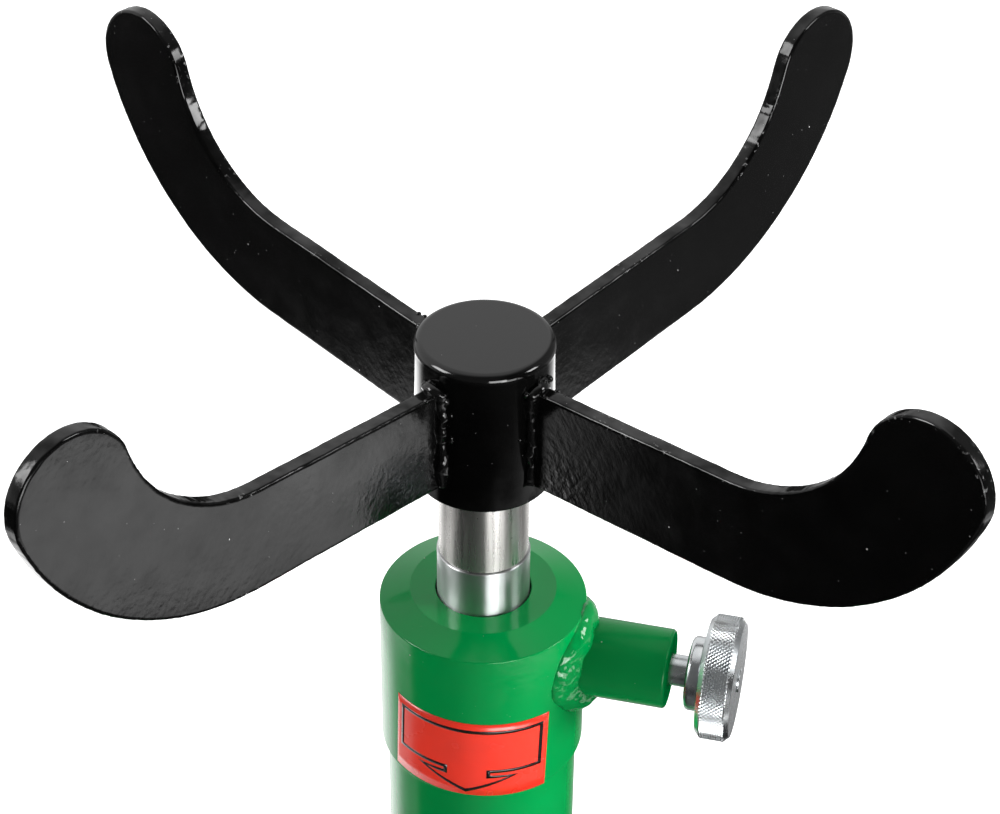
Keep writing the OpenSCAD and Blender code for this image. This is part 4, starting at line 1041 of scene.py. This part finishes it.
def circle_tree():
    """Geometry nodes: one fastener on circles round the z axis, row by row outwards."""
    tree, given = new_tree("fastener_circle", Fastener="Object", Count="Int",
                           Start="Float", Radius="Float", Rows="Int", Step="Float")
    times, plus = (partial(sum_of, tree, kind) for kind in ("MULTIPLY", "ADD"))
    index = add(tree, "GeometryNodeInputIndex").outputs[0]
    share = sum_of(tree, "DIVIDE", index, given["Count"])
    row = sum_of(tree, "FLOOR", share, 0)
    angle = plus(times(share, 2 * math.pi), given["Start"])
    out = plus(given["Radius"], times(row, given["Step"]))
    # No two are tightened to the same angle
    draw = add(tree, "FunctionNodeRandomValue", {"data_type": "FLOAT", 2: 0.0,
                                                 3: math.radians(60), "Seed": 5})
    turn = add(tree, "ShaderNodeCombineXYZ", {"Z": plus(angle, draw.outputs[1])})
    shape = add(tree, "GeometryNodeObjectInfo", {"Object": given["Fastener"]})
    return strewn(tree, given, times(given["Count"], given["Rows"]),
                  spot(tree, angle, out), shape.outputs["Geometry"],
                  {"Rotation": turn.outputs[0]})


def ribs_tree():
    """Geometry nodes: round ribs along the z axis."""
    tree, given = new_tree("grip_ribs", Radius="Float", Rib="Float", Count="Int",
                           Pitch="Float")
    index = add(tree, "GeometryNodeInputIndex").outputs[0]
    up = level_of(tree, index, given["Count"], given["Pitch"])
    place = add(tree, "ShaderNodeCombineXYZ", {"Z": up}).outputs[0]
    circle = add(tree, "GeometryNodeCurvePrimitiveCircle", {
        "Resolution": 72, "Radius": given["Radius"]})
    rib = rod(tree, circle.outputs[0], given["Rib"], 12, False)
    return strewn(tree, given, given["Count"], place, rib, {})


def spring_tree():
    """Geometry nodes: an open-coiled spring that stands on the z axis."""
    tree, given = new_tree("return_spring", Curls="Float", Radius="Float",
                           Height="Float", Wire="Float")
    coil = add(tree, "GeometryNodeCurveSpiral", {
        "Resolution": 40, "Rotations": given["Curls"], "Start Radius": given["Radius"],
        "End Radius": given["Radius"], "Height": given["Height"]})
    return finish_tree(tree, given, rod(tree, coil.outputs[0], given["Wire"], 14, True))


def grown(tree, name, values, sharp=None):
    """The mesh that a geometry tree makes from its named inputs."""
    work = placed(name, bpy.data.meshes.new(name))
    step = work.modifiers.new(name, "NODES")
    step.node_group = tree
    for item in tree.interface.items_tree:
        if item.in_out == "INPUT":
            step[item.identifier] = values[item.name]
    made = worked(work, name)
    if sharp is not None:
        made.set_sharp_from_angle(angle=math.radians(sharp))
    return made


class JACK_OT_clamp(bpy.types.Operator):
    """Clamp screw with its knurled knob"""
    bl_idname = "jack.clamp"
    bl_label = "Clamp screw"

    def execute(self, context):
        sizes = context.scene.jack_sizes
        # Places along the screw of its shoulder and of the knob's two faces
        shoulder, knob, wide, thick = 79.2, 85.0, 47.0 / 2, 12.8
        end = knob + thick
        # M12 thread with 1.75 mm pitch inside the boss, drawn as close rings, then a
        # plain shank, the shoulder and the riveted end
        root, crest, pitch = 5.1, 5.98, 1.75
        corners = [(0, 23.6, 0), (4.8, 23.6, 0)]
        z = 24.0
        while z < 64:
            corners += [(root, z, 0), (crest, z + 0.65, 0.12), (crest, z + 0.95, 0.12),
                        (root, z + 1.6, 0.1)]
            z += pitch
        corners += [(5.4, 65.6, 0.2), (5.95, 66.4, 0.2), (5.95, shoulder, 0.3),
                    (14, shoulder, 1.9), (14, knob, 1.3), (4.5, knob, 0),
                    (4.5, end + 0.8, 0.6), (0, end + 0.8, 0)]
        mesh = turned("clamp_stud", corners, segments=72, steps=5, place=clamp_place(0))
        piece(mesh, "clamp_stud", "zinc", "clamp_screw", ["clamp_screw"])
        rim = wide - sizes.knurl_depth / MM
        mesh = turned("clamp_disc", [
            (4.52, knob, 0.3), (wide - 2.0, knob, 0.5), (rim + 0.1, knob + 1.9, 0.3),
            (rim, knob + 2.1, 0), (rim, end - 2.1, 0), (rim + 0.1, end - 1.9, 0.3),
            (wide - 2.0, end, 0.5), (4.52, end, 0.3)], segments=144, place=clamp_place(0))
        piece(mesh, "clamp_disc", "zinc", "clamp_screw", ["clamp_knob"])
        rows = int(round((thick - 4.6) * MM / sizes.knurl_pitch)) + 1
        mesh = grown(knurl_tree(), "clamp_knurl", {
            "Radius": (rim - 0.02) * MM, "Round": sizes.knurls_round, "Rows": rows,
            "Pitch": sizes.knurl_pitch, "Depth": sizes.knurl_depth,
            "Material": finishes["zinc"]})
        mesh.transform(clamp_place((knob + thick / 2) * MM))
        mesh.polygons.foreach_set("use_smooth", [False] * len(mesh.polygons))
        piece(mesh, "clamp_knurl", "zinc", "clamp_screw")
        return {"FINISHED"}


class JACK_OT_solids(bpy.types.Operator):
    """Shown solids with their edges broken"""
    bl_idname = "jack.solids"
    bl_label = "Column, pump and base"

    def execute(self, context):
        sizes = context.scene.jack_sizes
        for node, (finish, slot, size) in SHOWN_NODES.items():
            mesh = softened(node, getattr(sizes, size))
            piece(mesh, node + "_finished", finish, BODY_OF[node], [node])
        return {"FINISHED"}


class JACK_OT_handle(bpy.types.Operator):
    """Ribbed grip of the carrying handle, and the handle's welds"""
    bl_idname = "jack.handle"
    bl_label = "Handle"

    def execute(self, context):
        sizes = context.scene.jack_sizes
        lo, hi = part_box("handle_grip")
        r, high = (hi.y - lo.y) / 2, hi.z - lo.z
        stand = Matrix.Translation((lo + hi) / 2)
        # Radii of the handle's bar and of the grip's bore
        bar, bore = 8.0, 8.03
        cuff, skin, end = r / MM, (r - sizes.grip_rib) / MM, high / 2 / MM
        piece(turned("grip_sleeve", [
            (bore, -end, 0.3), (cuff, -end, 1.4), (cuff, 3.2 - end, 1.0),
            (skin, 4.6 - end, 0.6), (skin, end - 4.6, 0.6), (cuff, end - 3.2, 1.0),
            (cuff, end, 1.4), (bore, end, 0.3)], segments=72, place=stand),
            "grip_sleeve", "rubber", "base", ["handle_grip"])
        mesh = grown(ribs_tree(), "grip_ribs", {
            "Radius": r - 1.1 * sizes.grip_rib, "Rib": sizes.grip_rib,
            "Count": int((high - 14 * MM) / sizes.grip_pitch),
            "Pitch": sizes.grip_pitch, "Material": finishes["rubber"]})
        mesh.transform(stand)
        piece(mesh, "grip_ribs", "rubber", "base")
        lower, upper = (box.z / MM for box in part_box("carry_handle"))
        tube_r = measured("reservoir_tube")[0]

        def thick(share, point):
            return sizes.weld_ring * (1 + 0.22 * noise.noise(point / (5 * MM))
                                      + 0.1 * abs(math.cos(13 * math.pi * share)))
        for name, z in (("handle_weld_lower", lower + bar),
                        ("handle_weld_upper", upper - bar)):
            path = []
            for a in (2 * math.pi * k / 60 for k in range(60)):
                side = (bar + 1.0) * math.cos(a)
                path.append(Vector((side, math.sqrt(tube_r ** 2 - side ** 2) + 0.8,
                                    z + (bar + 1.0) * math.sin(a))) * MM)
            bm = bmesh.new()
            swept(bm, path, thick, closed=True)
            piece(melted(bm, name, 0.5 * MM, ((2.5 * MM, 0.25 * MM),)),
                  name, "weld_black", "base")
        return {"FINISHED"}


def hexagon_r(flats, angle):
    """Radius of a hexagon at an angle, from its width across flats."""
    return flats / 2 / math.cos(angle % (math.pi / 3) - math.pi / 6)


def hexagon(bm, flats, foot, head):
    """Adds a chamfered hexagon from foot to head, all in millimetres."""
    def drop(a):
        return max(0.0, hexagon_r(flats, a) - flats / 2 * 0.98) * math.tan(math.radians(30))
    outer, face = partial(hexagon_r, flats), flats / 2 * 0.95
    barrel(bm, [ring(bm, 48, r, z) for r, z in (
        (face, foot), (outer, lambda a: foot + drop(a)),
        (outer, lambda a: head - drop(a)), (face, head))])


def fasteners(tree, bm, name, node, values):
    """A piece of four fasteners or more that a geometry tree sets out from one."""
    one = bpy.data.objects.new("one_" + node, shown(bm, "one_" + node))
    mesh = grown(tree, name, {"Fastener": one, "Count": 4, "Material": finishes["zinc"],
                              **values}, sharp=28)
    piece(mesh, name, "zinc", "base", [node])
    bpy.data.objects.remove(one)


class JACK_OT_fasteners(bpy.types.Operator):
    """Bolts of the legs and screws of the block"""
    bl_idname = "jack.fasteners"
    bl_label = "Bolts and screws"

    def execute(self, context):
        tree = circle_tree()
        # Width across flats, and the radius of the inner circle of bolts
        wrench, bolt_circle = 17.0, 84.88
        end, head = (box.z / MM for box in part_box("leg_bolts"))
        plate_foot, plate_top = measured("base_plate")[1:]
        leg_foot = measured("leg_back_right")[1]
        bm = bmesh.new()
        hexagon(bm, wrench, plate_top + 0.02, head)
        barrel(bm, [ring(bm, 32, r, z) for r, z in (
            (5, plate_top), (5, leg_foot - 8.2), (4.1, leg_foot - 8.4))])
        z = leg_foot - 8.4
        thread = [(4.1, z)]
        while z > end + 1.2:
            thread += [(4.95, z - 0.5), (4.95, z - 0.7), (4.2, z - 1.2)]
            z -= 1.25
        thread += [(4.2, end + 0.02), (3.6, end + 0.02)]
        barrel(bm, [ring(bm, 32, r, z) for r, z in thread])
        hexagon(bm, wrench, leg_foot - 8.0, leg_foot - 0.02)
        fasteners(tree, bm, "leg_bolts_finished", "leg_bolts", {
            "Start": math.pi / 4, "Radius": bolt_circle * MM, "Rows": 2, "Step": 30 * MM})

        # Socket head: the rim turns in to a hexagon socket 6 mm across
        foot, top = measured("block_screws")[1:]
        head_r, socket = 6.5, partial(hexagon_r, 6.0)
        bm = bmesh.new()
        barrel(bm, [ring(bm, 48, r, z) for r, z in (
            (4.0, top), (4.0, plate_foot), (head_r, plate_foot), (head_r, foot + 0.8),
            (5.7, foot), (socket, foot), (socket, foot + 3.6))])
        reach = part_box("block_screws")[1].x / MM
        fasteners(tree, bm, "block_screws_finished", "block_screws", {
            "Start": math.pi / 2, "Radius": (reach - head_r) * MM, "Rows": 1, "Step": 0.0})
        return {"FINISHED"}


class JACK_OT_spring(bpy.types.Operator):
    """Return spring of the pump"""
    bl_idname = "jack.spring"
    bl_label = "Pump spring"

    def execute(self, context):
        lo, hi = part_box("pump_spring")
        wire = 1.5 * MM
        mesh = grown(spring_tree(), "return_spring", {
            "Curls": 6.0, "Radius": (hi.x - lo.x) / 2 - wire,
            "Height": hi.z - lo.z - 2 * wire, "Wire": wire, "Material": finishes["zinc"]})
        middle = (lo + hi) / 2
        mesh.transform(Matrix.Translation((middle.x, middle.y, lo.z + wire)))
        spring = piece(mesh, "return_spring", "zinc", "base", ["pump_spring"])
        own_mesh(spring)
        return {"FINISHED"}


# Cards that gloss sees on the floor in three rings round the jack: azimuth in degrees
# from +X, and the card's level there. Within 1.15 m they show in the collar's paint,
# up to 1.31 m in the stem and the ram, and beyond in the saddle.
NEAR_CARDS = ((-180, 0.52), (-178, 0.42), (-175, 0.12), (-170, 0.03), (-152, 0.01),
              (-118, 0.05), (-98, 0.2), (-80, 0.12), (-60, 0.04), (40, 0.02),
              (56, 0.2), (66, 0.35), (90, 0.5), (115, 1.8), (137, 2.0), (156, 0.8),
              (168, 0.55), (180, 0.55))
STEM_CARDS = ((-180, 2.1), (-178, 0.8), (-175, 0.14), (-171, 0.03), (-160, 0.01),
              (-148, 0.02), (-130, 0.13), (-98, 0.3), (-83, 0.5), (-77, 1.0),
              (-70, 2.0), (-55, 2.3), (-35, 2.4), (-25, 1.8), (-12, 1.4), (3, 0.9),
              (27, 1.0), (50, 1.2), (68, 1.4), (137, 1.6), (168, 2.4), (180, 2.4))
SADDLE_CARDS = ((-180, 0.8), (-176, 0.7), (-174, 0.2), (-171, 0.02), (-160, 0.01),
                (-100, 0.01), (-80, 0.05), (-45, 0.25), (-30, 0.8), (-22, 1.5),
                (-4, 1.7), (4, 0.6), (30, 0.8), (44, 2.0), (58, 4.0), (90, 2.4),
                (115, 4.8), (134, 4.8), (146, 1.6), (156, 0.8), (170, 0.6), (180, 0.9))
CARD_TOP = 5.0


def ring_level(tree, turn, cards):
    """Level of one ring of cards by the turn round the jack, 0 to 1."""
    ramp = add(tree, "ShaderNodeValToRGB", {"Fac": turn})
    stops = ramp.color_ramp.elements
    for azimuth, level in cards[1:-1]:
        stops.new(azimuth / 360 + 0.5)
    for stop, (azimuth, level) in zip(stops, cards):
        stop.position = azimuth / 360 + 0.5
        stop.color = [level / CARD_TOP] * 3 + [1.0]
    return sum_of(tree, "MULTIPLY", ramp.outputs["Color"], CARD_TOP)


def card_level(tree, place):
    """Level of the light and dark cards that lie round the jack, by place on the floor."""
    turn = add(tree, "ShaderNodeTexGradient", {
        "gradient_type": "RADIAL", "Vector": place}).outputs["Fac"]
    far = off_axis(tree, place)
    times = partial(sum_of, tree, "MULTIPLY")
    level = mixed(tree, spread(tree, far, 1.12, 1.17), ring_level(tree, turn, NEAR_CARDS),
                  ring_level(tree, turn, STEM_CARDS))
    level = mixed(tree, spread(tree, far, 1.3, 1.315), level,
                  ring_level(tree, turn, SADDLE_CARDS))
    # The bright strips at the back start at 1.4 m. Past 1.5 m the sides fall dark, the
    # left one more, and past 1.6 m the back is grey.
    ways = add(tree, "ShaderNodeSeparateXYZ", {"Vector": place}).outputs
    close = times(spread(tree, far, 1.44, 1.38), spread(tree, ways["Y"], 0.35, 0.6),
                  spread(tree, far, 1.12, 1.17))
    level = mixed(tree, close, level, 0.5)
    dark = times(spread(tree, far, 1.46, 1.54), spread(tree, ways["Y"], 0.95, 0.7))
    level = mixed(tree, dark, level, spread(tree, ways["X"], -0.6, 0.6, 0.04, 0.11))
    grey = times(spread(tree, far, 1.56, 1.64), spread(tree, ways["Y"], 0.7, 0.95))
    return mixed(tree, grey, level, 0.45)


class JACK_OT_stage(bpy.types.Operator):
    """Floor, lamps, world and camera"""
    bl_idname = "jack.stage"
    bl_label = "Stage"

    def execute(self, context):
        scene = context.scene
        scene.view_settings.view_transform = "Standard"
        bpy.ops.mesh.primitive_plane_add(size=14)
        floor = context.object
        floor.name = "studio_floor"
        # White paper: matt and even to the eye, while gloss sees cards on it
        paper, tree, shader, place = begin("white_paper", {
            "Roughness": 0.9, "Base Color": linear("#e9e9e9")})
        path = add(tree, "ShaderNodeLightPath").outputs
        glow = add(tree, "ShaderNodeEmission", {"Strength": 0.8})
        lit = add(tree, "ShaderNodeAddShader", {0: shader.outputs[0], 1: glow.outputs[0]})
        seen = add(tree, "ShaderNodeMixShader", {
            0: path["Is Camera Ray"], 1: shader.outputs[0], 2: lit.outputs[0]})
        cards = add(tree, "ShaderNodeEmission", {"Strength": card_level(tree, place)})
        both = add(tree, "ShaderNodeMixShader", {
            0: path["Is Glossy Ray"], 1: seen.outputs[0], 2: cards.outputs[0]})
        end = next(n for n in tree.nodes if n.type == "OUTPUT_MATERIAL")
        drive(tree, end, {"Surface": both.outputs[0]})
        floor.data.materials.append(paper)

        # World: white to the eye, dim in front of the jack and bright round its back
        world = bpy.data.worlds.new("studio")
        scene.world = world
        world.use_nodes = True
        tree = world.node_tree
        tree.nodes.clear()
        path = add(tree, "ShaderNodeLightPath").outputs
        way = add(tree, "ShaderNodeTexCoord").outputs["Generated"]
        ways = add(tree, "ShaderNodeSeparateXYZ", {"Vector": way}).outputs
        soft = spread(tree, ways["Y"], -0.5, 0.4, 0.28, 1.05)
        gloss = sum_of(tree, "MULTIPLY", spread(tree, ways["Y"], -0.35, 0.15, 0.12, 1.0),
                       spread(tree, ways["X"], 0.25, 0.5, 1.0, 0.25))
        level = mixed(tree, path["Is Glossy Ray"], soft, gloss)
        seen = sum_of(tree, "MAXIMUM", path["Is Camera Ray"], path["Is Transmission Ray"])
        sky = add(tree, "ShaderNodeBackground", {
            "Color": linear("#ffffff"), "Strength": mixed(tree, seen, level, 1.0)})
        add(tree, "ShaderNodeOutputWorld", {"Surface": sky.outputs[0]})

        # The key and the fills light colours but aren't mirrored. The glints are
        # mirrored in rounded edges and welds, and the left and front ones do only that.
        for name, place, size, power, colours, mirrored in (
                ("key_right", (2.5, -0.84, 1.34), 0.7, 80, True, False),
                ("fill_right", (2.4, 0.5, 2.2), 1.2, 14, True, False),
                ("fill_left", (-2.6, 0.2, 1.7), 1.4, 17, True, False),
                ("glint_left", (-1.8, -0.35, 2.25), 0.9, 30, False, True),
                ("glint_front", (0.8, -2.5, 1.1), 1.2, 40, False, True),
                ("glint_right", (1.9, -0.42, 2.0), 0.6, 13, True, True),
                ("glint_low", (1.35, -2.0, 0.7), 1.0, 14, True, True)):
            data = bpy.data.lights.new(name, "AREA")
            data.shape = "SQUARE"
            data.size = size
            data.energy = power
            lamp = placed(name, data)
            lamp.location = place
            lamp.rotation_euler = (Vector((0, 0, 1.0)) - Vector(place)).to_track_quat(
                "-Z", "Y").to_euler()
            lamp.visible_glossy = mirrored
            lamp.visible_diffuse = colours

        lens = bpy.data.cameras.new("camera")
        lens.sensor_width = 36
        lens.lens = 92.16
        lens.clip_start = 0.05
        lens.clip_end = 60
        camera = placed("camera", lens)
        camera.location = (-0.024482, -0.731148, HUB_TOP + 0.503917)
        camera.rotation_euler = Euler([math.radians(a) for a in
                                       (53.856267, -0.531048, -1.958207)], "XYZ")
        scene.camera = camera
        return {"FINISHED"}


class JACK_PT_panel(bpy.types.Panel):
    """The jack's operators, sizes and colours"""
    bl_label = "Transmission Jack"
    bl_idname = "JACK_PT_panel"
    bl_space_type = "VIEW_3D"
    bl_region_type = "UI"
    bl_category = "Jack"

    def draw(self, context):
        for operator in STEPS:
            self.layout.operator(operator.bl_idname)
        for group in (context.scene.jack_sizes, context.scene.jack_colours):
            for name in group.__annotations__:
                self.layout.prop(group, name)


STEPS = (JACK_OT_finishes, JACK_OT_saddle, JACK_OT_ram, JACK_OT_collar, JACK_OT_label,
         JACK_OT_clamp, JACK_OT_solids, JACK_OT_handle, JACK_OT_fasteners,
         JACK_OT_spring, JACK_OT_stage)
CLASSES = (JackSizes, JackColours) + STEPS + (JACK_PT_panel,)


def register():
    for cls in CLASSES:
        bpy.utils.register_class(cls)
    bpy.types.Scene.jack_sizes = bpy.props.PointerProperty(type=JackSizes)
    bpy.types.Scene.jack_colours = bpy.props.PointerProperty(type=JackColours)


def unregister():
    del bpy.types.Scene.jack_colours
    del bpy.types.Scene.jack_sizes
    for cls in reversed(CLASSES):
        bpy.utils.unregister_class(cls)


def main():
    register()
    for operator in STEPS:
        group, name = operator.bl_idname.split(".")
        getattr(getattr(bpy.ops, group), name)()


if __name__ == "__main__":
    main()
